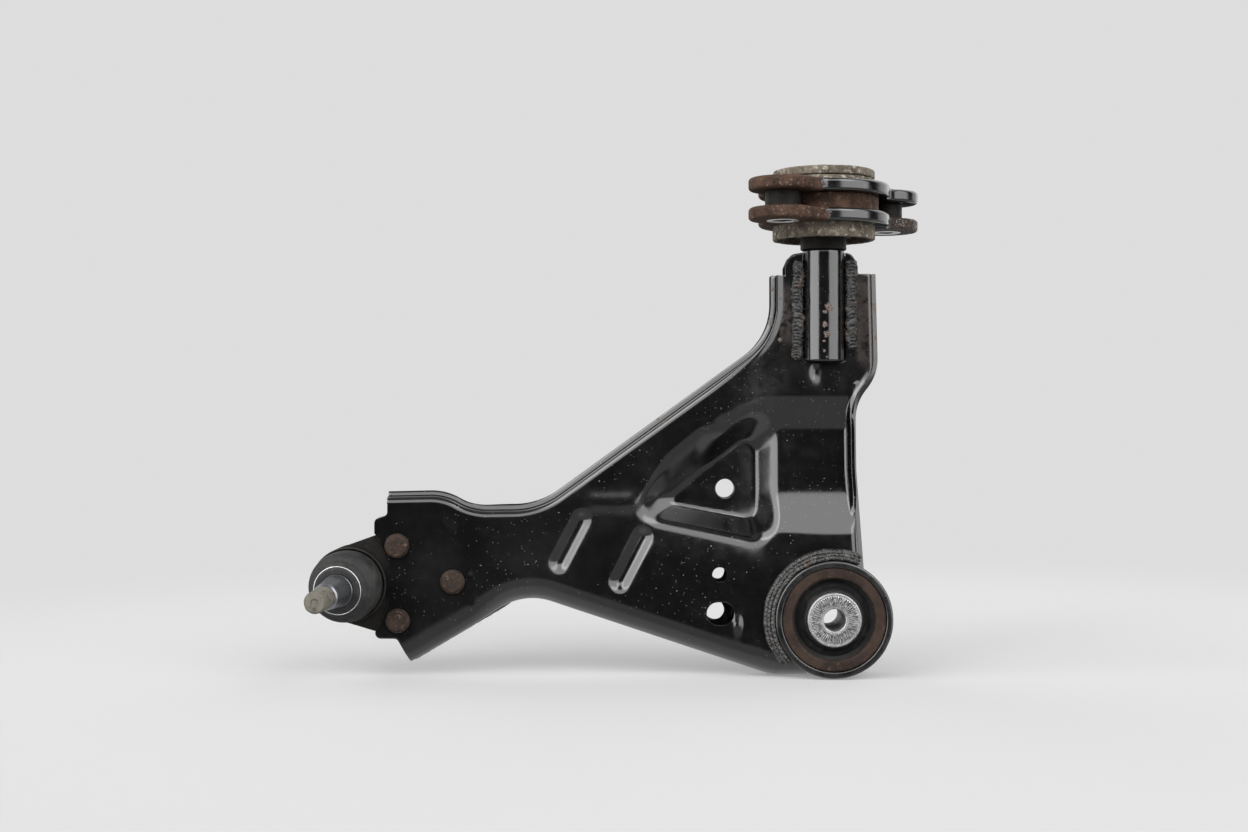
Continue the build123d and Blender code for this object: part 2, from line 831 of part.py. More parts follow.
def boot_station(distance, share):
    """Plane across the boot; share 0 follows the housing axis and share 1 the stud axis."""
    lean = (Vector(0, -1, 0) * (1 - share) + stud_direction * share).normalized()
    origin = Vector(ball_x, ball_y, ball_z) + lean * distance
    return Plane(origin=origin, x_dir=Vector(0, 0, 1).cross(lean), z_dir=lean)


def boot_loft(stations):
    """Smooth solid through circles given as (distance, share, radius)."""
    with BuildPart() as solid:
        for distance, share, radius in stations:
            with BuildSketch(boot_station(distance, share)):
                Circle(radius)
        loft()
    return solid.part


cuff_top = 19.6
with BuildPart() as ball_boot:
    add(turned(
        [(neck_r + fit, 14.0), (21.6, 14.0), (22.4, cuff_top), (neck_r + fit, cuff_top)],
        housing_plane(),
        housing_axis,
    ))
    add(boot_loft([
        (cuff_top, 0.0, 22.4),
        (24.5, 0.5, 22.6),
        (29.0, 0.85, 19.4),
        (32.4, 1.0, 14.4),
    ]))
    add(boot_loft([
        (cuff_top - 0.01, 0.0, neck_r + 0.1),
        (24.5, 0.5, 20.2),
        (28.6, 0.85, 16.6),
        (32.5, 1.0, stud_collar_r + 0.3),
    ]), mode=Mode.SUBTRACT)
ball_boot.part.label = "ball_boot"
export_step(ball_boot.part, "parts/ball_boot.step")

with BuildPart() as boot_lower_ring:
    add(turned(
        [(22.9, 14.4), (24.0, 14.4), (24.0, 16.4), (22.9, 16.4)],
        housing_plane(),
        housing_axis,
    ))
boot_lower_ring.part.label = "boot_lower_ring"
export_step(boot_lower_ring.part, "parts/boot_lower_ring.step")

with BuildPart() as boot_upper_ring:
    add(turned(
        [
            (stud_collar_r + 0.05, 32.7),
            (15.4, 32.7),
            (15.4, boot_top_s),
            (14.8, boot_top_s + 0.6),
            (stud_collar_r + 0.05, boot_top_s + 0.6),
        ],
        stud_plane(),
        stud_axis,
    ))
boot_upper_ring.part.label = "boot_upper_ring"
export_step(boot_upper_ring.part, "parts/boot_upper_ring.step")

rivet_head_t = 3.2
rivet_tail_r = 7.0
with BuildPart() as ball_joint_rivets:
    for x, z in rivet_places:
        rivet_axis = Axis((x, 0, z), (0, 1, 0))
        rivet_plane = Plane(origin=(x, 0, z), x_dir=(1, 0, 0), z_dir=(0, 0, 1))
        add(turned(
            [
                (0, front_y - rivet_head_t),
                (rivet_head_r - 3.0, front_y - rivet_head_t),
                (rivet_head_r - 0.8, front_y - 1.8),
                (rivet_head_r, front_y - touch),
                (rivet_shank_r, front_y - touch),
                (rivet_shank_r, land_y + sheet + touch),
                (rivet_tail_r, land_y + sheet + touch),
                (rivet_tail_r - 1.5, land_y + sheet + 2.6),
                (0, land_y + sheet + 3.0),
            ],
            rivet_plane,
            rivet_axis,
        ))
ball_joint_rivets.part.label = "ball_joint_rivets"
export_step(ball_joint_rivets.part, "parts/ball_joint_rivets.step")
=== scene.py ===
"""Looks of a pressed-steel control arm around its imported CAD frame.

Lengths inside the mesh functions are millimetres in the CAD frame; objects are made in metres.
X runs along the arm towards the bushes, Z from the ring bush to the pin bush, -Y towards the viewer.
"""

import math

import bmesh
import bpy
import numpy as np
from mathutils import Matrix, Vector, geometry, kdtree


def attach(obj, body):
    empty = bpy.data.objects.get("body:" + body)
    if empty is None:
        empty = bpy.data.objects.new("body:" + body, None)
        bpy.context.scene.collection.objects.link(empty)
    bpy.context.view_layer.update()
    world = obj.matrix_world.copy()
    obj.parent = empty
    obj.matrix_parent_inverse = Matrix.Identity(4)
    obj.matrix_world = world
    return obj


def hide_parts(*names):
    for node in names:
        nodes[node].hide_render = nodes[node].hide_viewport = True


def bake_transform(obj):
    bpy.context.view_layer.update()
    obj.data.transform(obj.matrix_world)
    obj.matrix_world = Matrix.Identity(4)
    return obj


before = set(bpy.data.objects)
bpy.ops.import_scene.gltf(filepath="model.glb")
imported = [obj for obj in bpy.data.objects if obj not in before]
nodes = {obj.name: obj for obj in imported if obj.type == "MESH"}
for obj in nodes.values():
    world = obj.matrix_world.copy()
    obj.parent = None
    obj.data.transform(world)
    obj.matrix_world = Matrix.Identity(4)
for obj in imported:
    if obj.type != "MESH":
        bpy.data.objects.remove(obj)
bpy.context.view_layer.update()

MM = 0.001
scene = bpy.context.scene


# ------------------------------------------------------------------ small maths
def ramp(q, foot=0.25, crest=0.6):
    """0 below q=0 and 1 above q=1; the slope grows over foot, stays even, and fades out after crest."""
    q = np.clip(q, 0.0, 1.0)
    total = 0.5 * foot + (crest - foot) + 0.5 * (1 - crest)
    rising = 0.5 * q * q / foot
    even = 0.5 * foot + (q - foot)
    fading = 0.5 * foot + (crest - foot) + (q - crest) - 0.5 * (q - crest) ** 2 / (1 - crest)
    return np.where(q < foot, rising, np.where(q < crest, even, fading)) / total


def smooth(q):
    """Even ease from 0 to 1."""
    q = np.clip(q, 0.0, 1.0)
    return q * q * (3 - 2 * q)


def lattice_noise(p, scale, seed=0):
    """Smooth value noise in -1..1 for an (n, 3) array of millimetre points."""
    p = p / scale
    cell = np.floor(p).astype(np.int64)
    f = p - cell
    f = f * f * (3 - 2 * f)
    total = np.zeros(len(p))
    for dx in (0, 1):
        for dy in (0, 1):
            for dz in (0, 1):
                key = (cell[:, 0] + dx) * 374761393 + (cell[:, 1] + dy) * 668265263
                key = key + (cell[:, 2] + dz) * 2147483647 + seed * 974711
                key = (key ^ (key >> 13)) * 1274126177
                key = key ^ (key >> 16)
                value = (key & 0xFFFF) / 32767.5 - 1.0
                weight = (f[:, 0] if dx else 1 - f[:, 0]) * (f[:, 1] if dy else 1 - f[:, 1])
                total += value * weight * (f[:, 2] if dz else 1 - f[:, 2])
    return total


def fractal(p, scale, seed=0, octaves=3):
    total, size, weight = np.zeros(len(p)), scale, 1.0
    for octave in range(octaves):
        total += weight * lattice_noise(p, size, seed + octave)
        size *= 0.5
        weight *= 0.5
    return total


def segment_distance(x, z, a, b):
    """Distance from points to the segment a-b, and how far along it they are, 0 to 1."""
    ax, az = a
    bx, bz = b
    length2 = (bx - ax) ** 2 + (bz - az) ** 2
    t = np.clip(((x - ax) * (bx - ax) + (z - az) * (bz - az)) / length2, 0, 1)
    return np.hypot(x - ax - t * (bx - ax), z - az - t * (bz - az)), t


def side_of_line(x, z, points):
    """Signed distance from a polyline, positive on its right-hand side while walking along it."""
    best, signed = np.full(x.shape, 1e9), np.zeros(x.shape)
    for a, b in zip(points[:-1], points[1:]):
        distance, _ = segment_distance(x, z, a, b)
        cross = (b[0] - a[0]) * (z - a[1]) - (b[1] - a[1]) * (x - a[0])
        closer = distance < best
        best = np.where(closer, distance, best)
        signed = np.where(closer, -np.sign(cross) * distance, signed)
    return signed


def inside(points, polygon):
    """Even-odd test of (n, 2) points against a closed polygon."""
    x, z = points[:, 0], points[:, 1]
    result = np.zeros(len(points), bool)
    px, pz = polygon[:, 0], polygon[:, 1]
    qx, qz = np.roll(px, -1), np.roll(pz, -1)
    for ax, az, bx, bz in zip(px, pz, qx, qz):
        if az == bz:
            continue
        crosses = ((az > z) != (bz > z)) & (x < (bx - ax) * (z - az) / (bz - az) + ax)
        result ^= crosses
    return result


# ------------------------------------------------------------------ mesh building
def make_object(name, vertices, faces, material, smooth_faces=True):
    mesh = bpy.data.meshes.new(name)
    mesh.from_pydata([tuple(v) for v in (np.asarray(vertices) * MM).tolist()], [], faces)
    mesh.validate()
    mesh.polygons.foreach_set("use_smooth", [smooth_faces] * len(mesh.polygons))
    mesh.materials.append(material)
    obj = bpy.data.objects.new(name, mesh)
    scene.collection.objects.link(obj)
    return obj


def apply_modifiers(obj):
    evaluated = obj.evaluated_get(bpy.context.evaluated_depsgraph_get())
    mesh = bpy.data.meshes.new_from_object(evaluated)
    mesh.name = obj.name
    obj.modifiers.clear()
    obj.data = mesh


def sharpen(obj, degrees):
    """Marks edges steeper than the angle as sharp, so shading breaks there."""
    obj.data.set_sharp_from_angle(angle=math.radians(degrees))


def rounded(points, steps=5, closed=True):
    """Polyline through (a, b, radius) corners with each corner rounded."""
    result = []
    count = len(points)
    for index, (x, y, radius) in enumerate(points):
        corner = np.array((x, y), float)
        if radius <= 0 or (not closed and index in (0, count - 1)):
            result.append(corner)
            continue
        before = np.array(points[index - 1][:2], float) - corner
        after = np.array(points[(index + 1) % count][:2], float) - corner
        before_length, after_length = np.hypot(*before), np.hypot(*after)
        u, v = before / before_length, after / after_length
        half = math.acos(float(np.clip(u @ v, -1, 1))) / 2
        if half > math.pi / 2 - 1e-3:
            result.append(corner)
            continue
        reach = min(radius / math.tan(half), 0.49 * before_length, 0.49 * after_length)
        radius = reach * math.tan(half)
        bisector = (u + v) / np.hypot(*(u + v))
        centre = corner + bisector * radius / math.sin(half)
        a, b = corner + u * reach - centre, corner + v * reach - centre
        sweep = math.acos(float(np.clip(a @ b / (radius * radius), -1, 1)))
        for step in range(steps + 1):
            t = step / steps
            mixed = (math.sin((1 - t) * sweep) * a + math.sin(t * sweep) * b) / math.sin(sweep)
            result.append(centre + mixed)
    return np.array(result)


def grid_faces(rows, columns, close_rows=False, close_columns=False, flip=False):
    """Quads over a rows x columns grid of vertices."""
    faces = []
    for i in range(rows if close_rows else rows - 1):
        for j in range(columns if close_columns else columns - 1):
            a = i * columns + j
            b = i * columns + (j + 1) % columns
            c = ((i + 1) % rows) * columns + (j + 1) % columns
            d = ((i + 1) % rows) * columns + j
            faces.append((a, d, c, b) if flip else (a, b, c, d))
    return faces


def frame_for(axis):
    """Two unit vectors square to the axis."""
    axis = np.array(axis, float)
    axis = axis / np.linalg.norm(axis)
    helper = np.array((0.0, 0.0, 1.0)) if abs(axis[2]) < 0.9 else np.array((1.0, 0.0, 0.0))
    side = np.cross(helper, axis)
    side /= np.linalg.norm(side)
    return axis, side, np.cross(axis, side)


def dense(profile, spacing):
    """A closed profile with its long runs divided."""
    result = []
    for a, b in zip(profile, np.roll(profile, -1, axis=0)):
        pieces = max(1, int(np.hypot(*(b - a)) / spacing))
        for k in range(pieces):
            result.append(a + (b - a) * k / pieces)
    return np.array(result)


def lathe(name, corners, origin, axis, material, segments=128, spacing=2.0, bump=None,
          arc=None, steps=4):
    """Turns a closed (radius, along, corner radius) profile about an axis.

    bump(radius, along, angle, points) gives a displacement along the profile's normal.
    """
    profile = dense(rounded(corners, steps), spacing)
    keep = np.hypot(*(profile - np.roll(profile, 1, axis=0)).T) > 1e-4
    profile = profile[keep]
    tangent = np.roll(profile, -1, axis=0) - np.roll(profile, 1, axis=0)
    tangent /= np.maximum(np.hypot(*tangent.T), 1e-9)[:, None]
    normal = np.stack([tangent[:, 1], -tangent[:, 0]], 1)
    area = np.sum(profile[:, 0] * np.roll(profile[:, 1], -1) - np.roll(profile[:, 0], -1) * profile[:, 1])
    if area < 0:
        normal = -normal
    axis, side, up = frame_for(axis)
    if arc is None:
        angles = np.arange(segments) / segments * 2 * math.pi
    else:
        angles = np.radians(np.linspace(arc[0], arc[1], segments))
    around = np.cos(angles)[:, None] * side + np.sin(angles)[:, None] * up
    origin = np.array(origin, float)
    r, s = profile[:, 0], profile[:, 1]
    points = origin + r[None, :, None] * around[:, None, :] + s[None, :, None] * axis
    points = points.reshape(-1, 3)
    if bump is not None:
        shift = bump(np.tile(r, segments), np.tile(s, segments), np.repeat(angles, len(r)), points)
        out = normal[None, :, 0, None] * around[:, None, :] + normal[None, :, 1, None] * axis
        points = points + out.reshape(-1, 3) * shift[:, None]
    faces = grid_faces(segments, len(r), close_rows=arc is None, close_columns=True, flip=area > 0)
    if arc is not None:
        first, last = list(range(len(r))), list(range((segments - 1) * len(r), segments * len(r)))
        faces.append(tuple(first if area > 0 else first[::-1]))
        faces.append(tuple(last[::-1] if area > 0 else last))
    points, faces = weld_axis(points, faces)
    obj = make_object(name, points, faces, material)
    sharpen(obj, 38)
    return obj


def weld_axis(points, faces):
    """Joins points that coincide, such as those on a turning axis, and drops empty faces."""
    keys = np.round(points * 1e4).astype(np.int64)
    _, first, index = np.unique(keys, axis=0, return_index=True, return_inverse=True)
    index = index.reshape(-1)
    cleaned = []
    for face in faces:
        ids = []
        for vertex in face:
            vertex = int(index[vertex])
            if not ids or ids[-1] != vertex:
                ids.append(vertex)
        if len(ids) > 1 and ids[0] == ids[-1]:
            ids.pop()
        if len(set(ids)) > 2 and len(set(ids)) == len(ids):
            cleaned.append(tuple(ids))
    return points[first], cleaned


def bead(name, path, lift, width, height, material, pitch=2.0, ripple=0.12, rough=0.25,
         sides=20, taper=4.0, seed=0, wander=0.3):
    """A weld bead along a path; lift is the direction it stands up in at each point."""
    path, lift = np.asarray(path, float), np.asarray(lift, float)
    step = np.linalg.norm(np.diff(path, axis=0), axis=1)
    along = np.concatenate([[0], np.cumsum(step)])
    run = np.gradient(path, axis=0)
    run /= np.linalg.norm(run, axis=1)[:, None]
    side = np.cross(run, lift)
    side /= np.linalg.norm(side, axis=1)[:, None]
    up = np.cross(side, run)
    angles = np.arange(sides) / sides * 2 * math.pi
    ends = np.minimum(along, along[-1] - along) / taper
    size = np.sqrt(np.clip(1 - (1 - np.clip(ends, 0.0, 1.0)) ** 2, 0.0, 1.0))
    size = np.maximum(size, 0.02)
    drift = wander * lattice_noise(np.stack([along, along * 0, along * 0], 1), 9.0, seed)
    a = np.cos(angles)[None, :] * width / 2
    b = np.sin(angles)[None, :] * height
    phase = (along[:, None] + 1.1 * np.cos(angles)[None, :] ** 2 * pitch) / pitch
    jitter = lattice_noise(np.stack([along, along * 0, along * 0], 1), pitch * 1.4, seed + 5)
    phase = phase + 0.35 * jitter[:, None]
    saw = (phase % 1.0) ** 1.6
    scale = 1 + ripple * (saw - 0.4) * (np.sin(angles)[None, :] > -0.2)
    points = (path + side * drift[:, None])[:, None, :]
    points = points + side[:, None, :] * (a * size[:, None])[:, :, None]
    points = points + up[:, None, :] * (b * scale * size[:, None])[:, :, None]
    flat = points.reshape(-1, 3)
    out = side[:, None, :] * np.cos(angles)[None, :, None] + up[:, None, :] * np.sin(angles)[None, :, None]
    grain = rough * fractal(flat, 2.2, seed + 9)
    flat = flat + out.reshape(-1, 3) * (grain * np.repeat(size, sides))[:, None]
    faces = grid_faces(len(path), sides, close_columns=True)
    faces.append(tuple(range(sides))[::-1])
    faces.append(tuple(range((len(path) - 1) * sides, len(path) * sides)))
    return make_object(name, flat, faces, material)


# ------------------------------------------------------------------ shell outline
# clockwise (x, z, corner radius), starting at the upper left
CORNERS = [
    (-294.5, 81.0, 8.0), (-248.5, 82.0, 36.0), (-230.5, 72.0, 36.0), (-189.0, 72.5, 50.0),
    (-39.0, 181.0, 41.0), (-39.0, 234.5, 9.0), (28.0, 234.5, 9.0), (30.0, 156.5, 30.0),
    (15.5, 137.5, 30.0), (16.0, 95.0, 100.0), (26.0, -38.0, 12.0), (-38.5, -38.0, 40.0),
    (-197.5, 15.0, 38.0), (-294.5, -42.5, 8.0),
]
WRAP, BUTT, OPEN = 0, 1, 2
KINDS = [WRAP, WRAP, WRAP, WRAP, WRAP, OPEN, WRAP, WRAP, WRAP, WRAP, BUTT, BUTT, BUTT, OPEN]
SPACING = 1.7


def moved_edges(corners, distances):
    """Moves each edge inwards by its own distance."""
    lines, count = [], len(corners)
    for index in range(count):
        x0, z0, _ = corners[index]
        x1, z1, _ = corners[(index + 1) % count]
        length = math.hypot(x1 - x0, z1 - z0)
        run = ((x1 - x0) / length, (z1 - z0) / length)
        start = (x0 + run[1] * distances[index], z0 - run[0] * distances[index])
        lines.append((start, run))
    moved = []
    for index in range(count):
        (ax, az), (au, aw) = lines[index - 1]
        (bx, bz), (bu, bw) = lines[index]
        turn = au * bw - aw * bu
        along = ((bx - ax) * bw - (bz - az) * bu) / turn
        step = (distances[index - 1] + distances[index]) / 2
        radius = corners[index][2] + (step if turn > 0 else -step)
        moved.append((ax + au * along, az + aw * along, max(radius, 0.6)))
    return moved


def outline_counts(corners):
    """How many pieces each corner arc and each straight run is divided into."""
    counts = []
    count = len(corners)
    for index in range(count):
        p = np.array(corners[index][:2])
        n = np.array(corners[(index + 1) % count][:2])
        b = np.array(corners[index - 1][:2])
        u, v = (b - p) / np.hypot(*(b - p)), (n - p) / np.hypot(*(n - p))
        sweep = math.pi - math.acos(float(np.clip(u @ v, -1, 1)))
        arc = max(6, int(corners[index][2] * sweep / SPACING))
        straight = max(2, int(np.hypot(*(n - p)) / SPACING))
        counts.append((arc, straight))
    return counts


COUNTS = outline_counts(CORNERS)


def outline_points(corners):
    """Points of a rounded outline; every outline made from CORNERS gets matching points."""
    count = len(corners)
    arcs = []
    for index in range(count):
        p = np.array(corners[index][:2])
        n = np.array(corners[(index + 1) % count][:2])
        b = np.array(corners[index - 1][:2])
        u, v = (b - p) / np.hypot(*(b - p)), (n - p) / np.hypot(*(n - p))
        half = math.acos(float(np.clip(u @ v, -1, 1))) / 2
        reach = corners[index][2] / math.tan(half)
        centre = p + (u + v) / np.hypot(*(u + v)) * corners[index][2] / math.sin(half)
        a, c = p + u * reach - centre, p + v * reach - centre
        sweep = math.pi - 2 * half
        pieces = COUNTS[index][0]
        t = np.linspace(0, 1, pieces + 1)[:, None]
        arcs.append(centre + (np.sin((1 - t) * sweep) * a + np.sin(t * sweep) * c) / math.sin(sweep))
    points = []
    for index in range(count):
        points.append(arcs[index])
        start, end = arcs[index][-1], arcs[(index + 1) % count][0]
        t = np.linspace(0, 1, COUNTS[index][1] + 1)[1:-1, None]
        points.append(start + (end - start) * t)
    return np.concatenate(points)


def outline_mix(values):
    """One number for each outline point from one number for each edge."""
    result = []
    for index in range(len(CORNERS)):
        t = smooth(np.linspace(0, 1, COUNTS[index][0] + 1))
        result.append(values[index - 1] + (values[index] - values[index - 1]) * t)
        result.append(np.full(COUNTS[index][1] - 1, float(values[index])))
    return np.concatenate(result)


def by_kind(wrap, butt, open_end):
    return [(wrap, butt, open_end)[kind] for kind in KINDS]


NOTCHES = [
    [(-330.0, 50.0, 0), (-330.0, 120.0, 0), (-285.3, 120.0, 0), (-285.3, 66.0, 3.0), (-293.6, 63.6, 3.5),
     (-293.6, 50.0, 0)],
    [(-330.0, -80.0, 0), (-330.0, -4.0, 0), (-293.0, -4.0, 0), (-293.0, -12.9, 3.6), (-279.0, -13.0, 3.5),
     (-260.0, -48.0, 0), (-250.0, -80.0, 0)],
    [(-80.0, 220.0, 0), (-80.0, 260.0, 0), (-19.0, 260.0, 0), (-19.0, 234.6, 1.5), (-26.5, 233.5, 5.0),
     (-30.0, 226.0, 4.0), (-30.0, 220.0, 1.0)],
    [(16.6, 221.0, 1.0), (16.6, 226.0, 4.0), (13.0, 233.5, 5.0), (8.0, 234.8, 1.5), (8.0, 260.0, 0),
     (70.0, 260.0, 0), (70.0, 221.0, 0)],
    [(-16.0, -80.0, 0), (-16.0, -20.0, 0.4), (70.0, -20.0, 0), (70.0, -80.0, 0)],
]
# each flanged run of the outline ends on two lines: point and the direction that is kept
RUNS = [
    (((-285.5, 80.0), (1, 0)), ((-35.0, 220.0), (0, -1))),
    (((25.0, 221.0), (0, -1)), ((20.0, 29.6), (0, 1))),
    (((-16.0, -38.0), (-1, 0)), ((-279.0, -13.0), (0.879, 0.477))),
]
RING_CUT = 37.2
BALL_CUT = ((-339.5, 22.5), 56.0)


def circle(x, z, r, pieces):
    t = np.arange(pieces) / pieces * 2 * math.pi
    return np.stack([x + r * np.cos(t), z + r * np.sin(t)], 1)


def sliced(points, spacing):
    """A closed loop with its long runs divided."""
    return dense(np.asarray(points, float), spacing)


SHEET = 3.0
BEND_STEPS = 7
RUN_MARGIN = 14
# how far back from the flange's sheared end each row of points lies
RIM_STEPS = (0.0, 0.15, 0.35, 0.55, 0.75, 0.95, 1.15)
FLANGE_SHARES = [0.35, 0.18]
HOLE_RIM = 1.1


def round_flange_rim(obj, outer_count, flange_ends, radius):
    """Rounds the outer corner of the flange's sheared end by drawing the outer skin inwards there."""
    mesh = obj.data
    co = np.zeros(len(mesh.vertices) * 3)
    normals = np.zeros(len(mesh.vertices) * 3)
    mesh.vertices.foreach_get("co", co)
    mesh.vertices.foreach_get("normal", normals)
    co, normals = co.reshape(-1, 3), normals.reshape(-1, 3)
    points = co / MM
    short = np.abs(points[:, 1] - flange_ends(points[:, 0], points[:, 2]))
    flat = normals.copy()
    flat[:, 1] = 0.0
    length = np.linalg.norm(flat, axis=1)
    side_on = (length > 0.5) & (np.arange(len(points)) < outer_count)
    pull = radius * np.clip(1.0 - short / RIM_STEPS[-1], 0.0, 1.0) ** 1.3
    pull = np.where(side_on, pull, 0.0)
    co -= flat / np.maximum(length, 1e-6)[:, None] * (pull * MM)[:, None]
    mesh.vertices.foreach_set("co", co.reshape(-1))
    mesh.update()


def section_rings(base, face_y, toward, bends, flange_ends, height):
    """Loops of points from the flange's sheared end, round the bend, to the edge of the face.

    The second value is the loop where the flange meets the bend.
    """
    bend_depth = outline_mix(bends)
    bent = []
    for k in range(BEND_STEPS + 1):
        angle = math.pi / 2 * k / BEND_STEPS
        ring = outline_points(moved_edges(base, [b * (1 - math.cos(angle)) for b in bends]))
        x, z = ring[:, 0], ring[:, 1]
        level = face_y(x, z)
        depth = np.minimum(bend_depth, np.maximum(np.abs(flange_ends(x, z) - level) - 0.4, 0.3))
        fade = math.sin(angle) ** 2
        y = level - toward * depth * (1 - math.sin(angle)) + toward * height(x, z) * fade
        bent.append(np.stack([x, y, z], 1))
    start = bent[0]
    run_length = flange_ends(start[:, 0], start[:, 2]) - start[:, 1]
    reach = np.minimum(RIM_STEPS[-1], 0.6 * np.abs(run_length))
    shares = [1.0 - back / RIM_STEPS[-1] * reach / np.maximum(np.abs(run_length), 0.1) for back in RIM_STEPS]
    flange = []
    for share in shares + FLANGE_SHARES:
        row = start.copy()
        row[:, 1] = start[:, 1] + run_length * share
        flange.append(row)
    return flange + bent, start


def run_rows(rings, start, run):
    """Rows of points of the flange and bend along one run, each ended on the run's two end lines."""
    (first_point, first_keep), (last_point, last_keep) = run
    count = len(start)

    def margin(ring, point, keep):
        return (ring[..., 0] - point[0]) * keep[0] + (ring[..., 2] - point[1]) * keep[1]

    def close_to(point):
        return int(np.argmin(np.hypot(start[:, 0] - point[0], start[:, 2] - point[1])))

    a, b = close_to(first_point), close_to(last_point)
    order = [i % count for i in range(a - RUN_MARGIN, (b if b > a else b + count) + RUN_MARGIN)]
    kept_first = np.min([margin(r[order], first_point, first_keep) for r in rings], axis=0) > 1e-6
    kept_last = np.min([margin(r[order], last_point, last_keep) for r in rings], axis=0) > 1e-6
    low = high = len(order) // 2
    while kept_first[low - 1]:
        low -= 1
    while kept_last[high + 1]:
        high += 1

    def crossing(ring, index, step, point, keep):
        while True:
            p, q = ring[order[index]], ring[order[index + step]]
            dp, dq = margin(p, point, keep), margin(q, point, keep)
            if dq <= 0:
                return p + (q - p) * dp / (dp - dq)
            index += step

    rows = []
    for ring in rings:
        body = [ring[order[i]] for i in range(low, high + 1)]
        begin = crossing(ring, low, -1, first_point, first_keep)
        finish = crossing(ring, high, 1, last_point, last_keep)
        rows.append([begin] + body + [finish])
    return rows


def face_mesh(face_ring, holes):
    """Flat points and triangles of the face inside its edge, clear of the notches and holes."""
    cutters = [sliced(rounded(n, 6), 1.5) for n in NOTCHES]
    cutters.append(circle(0, 0, RING_CUT, 150))
    cutters.append(circle(*BALL_CUT[0], BALL_CUT[1], 220))
    cutters += holes
    rims = []
    for hole in holes:
        centre = hole.mean(axis=0)
        reach = hole - centre
        rims.append(centre + reach * (1 + HOLE_RIM / np.hypot(*reach.T)[:, None]))
    points, edges = [], []
    for loop in [face_ring] + cutters + rims:
        offset = len(points)
        points.extend(loop.tolist())
        edges.extend((offset + i, offset + (i + 1) % len(loop)) for i in range(len(loop)))
    tree = kdtree.KDTree(len(points))
    for index, p in enumerate(points):
        tree.insert((p[0], p[1], 0), index)
    tree.balance()
    gx = np.arange(-300, 32, SPACING)
    gz = np.arange(-44, 240, SPACING * 0.866)
    grid = np.array([(x + (SPACING / 2 if row % 2 else 0), z) for row, z in enumerate(gz) for x in gx])
    grid = grid[inside(grid, face_ring)]
    for cutter in cutters:
        grid = grid[~inside(grid, cutter)]
    points.extend(p for p in grid.tolist() if tree.find((p[0], p[1], 0))[2] > SPACING * 0.62)
    out, _, triangles, *_ = geometry.delaunay_2d_cdt([Vector(p) for p in points], edges, [], 0, 1e-5)
    flat = np.array([tuple(v) for v in out])
    triangles = np.array(triangles)
    centres = flat[triangles].mean(axis=1)
    kept = inside(centres, face_ring)
    for cutter in cutters:
        kept &= ~inside(centres, cutter)
    return flat, triangles[kept]


def join_and_turn(obj, toward):
    """Joins points that coincide, and turns the faces to the sheet's outer side."""
    bm = bmesh.new()
    bm.from_mesh(obj.data)
    bmesh.ops.remove_doubles(bm, verts=bm.verts, dist=2e-5)
    bmesh.ops.recalc_face_normals(bm, faces=bm.faces)
    outwards = sum((1 if f.normal.y * toward > 0 else -1) * f.calc_area() for f in bm.faces)
    if outwards < 0:
        bmesh.ops.reverse_faces(bm, faces=bm.faces)
    bm.to_mesh(obj.data)
    bm.free()


def shell(name, base, face_y, toward, bends, flange_ends, height, holes, material, rim_round=0.0):
    """One pressed sheet: bends and flanges along its runs, and a shaped face in between.

    face_y is a function of (x, z) for the flat level, toward is -1 when the face looks along -Y,
    height is the shaping above that level, flange_ends a function giving each point's flange end.
    """
    rings, start = section_rings(base, face_y, toward, bends, flange_ends, height)
    vertices, faces = [], []
    for run in RUNS:
        rows = run_rows(rings, start, run)
        offset = len(vertices)
        for row in rows:
            vertices.extend(row)
        for quad in grid_faces(len(rows), len(rows[0]), flip=toward > 0):
            faces.append(tuple(offset + i for i in quad))
    flat, triangles = face_mesh(rings[-1][:, [0, 2]], holes)
    x, z = flat[:, 0], flat[:, 1]
    y = face_y(x, z) + toward * height(x, z)
    offset = len(vertices)
    vertices.extend(np.stack([x, y, z], 1))
    corner = flat[triangles[:, 0]]
    cross = np.cross(flat[triangles[:, 1]] - corner, flat[triangles[:, 2]] - corner)
    for triangle, c in zip(triangles, cross):
        ids = tuple(int(offset + i) for i in triangle)
        faces.append(ids if (c > 0) == (toward < 0) else ids[::-1])
    used = sorted(set(i for f in faces for i in f))
    remap = {old: new for new, old in enumerate(used)}
    obj = make_object(name, np.array(vertices)[used], [tuple(remap[i] for i in f) for f in faces], material)
    join_and_turn(obj, toward)
    outer_count = len(obj.data.vertices)
    solid = obj.modifiers.new("sheet", "SOLIDIFY")
    solid.thickness = SHEET * MM
    solid.offset = -1
    solid.use_even_offset = False
    solid.use_quality_normals = True
    apply_modifiers(obj)
    if rim_round:
        round_flange_rim(obj, outer_count, flange_ends, rim_round)
    bevel = obj.modifiers.new("edge", "BEVEL")
    bevel.width = 0.45 * MM
    bevel.segments = 2
    bevel.limit_method = "ANGLE"
    bevel.angle_limit = math.radians(58)
    bevel.use_clamp_overlap = True
    apply_modifiers(obj)
    obj.data.polygons.foreach_set("use_smooth", [True] * len(obj.data.polygons))
    sharpen(obj, 50)
    return obj


# ------------------------------------------------------------------ shell shapes
FRONT_Y, REAR_Y = -13.0, 13.0
TRIANGLE = [(-105.5, 74.5), (-49.3, 120.5), (-49.0, 63.5)]
GROOVES = [((-161.2, 62.5), (-175.2, 35.5), 2.9), ((-121.5, 52.0), (-136.3, 23.4), 3.7)]
UPPER_STEP = [(60.0, 132.0), (-36.0, 132.0), (-66.0, 122.0), (-95.0, 96.0), (-130.0, 60.0)]


def past_ball_end(x):
    """0 over the ball joint's plate and 1 beyond it."""
    return smooth((x + 236.0) / 30.0)


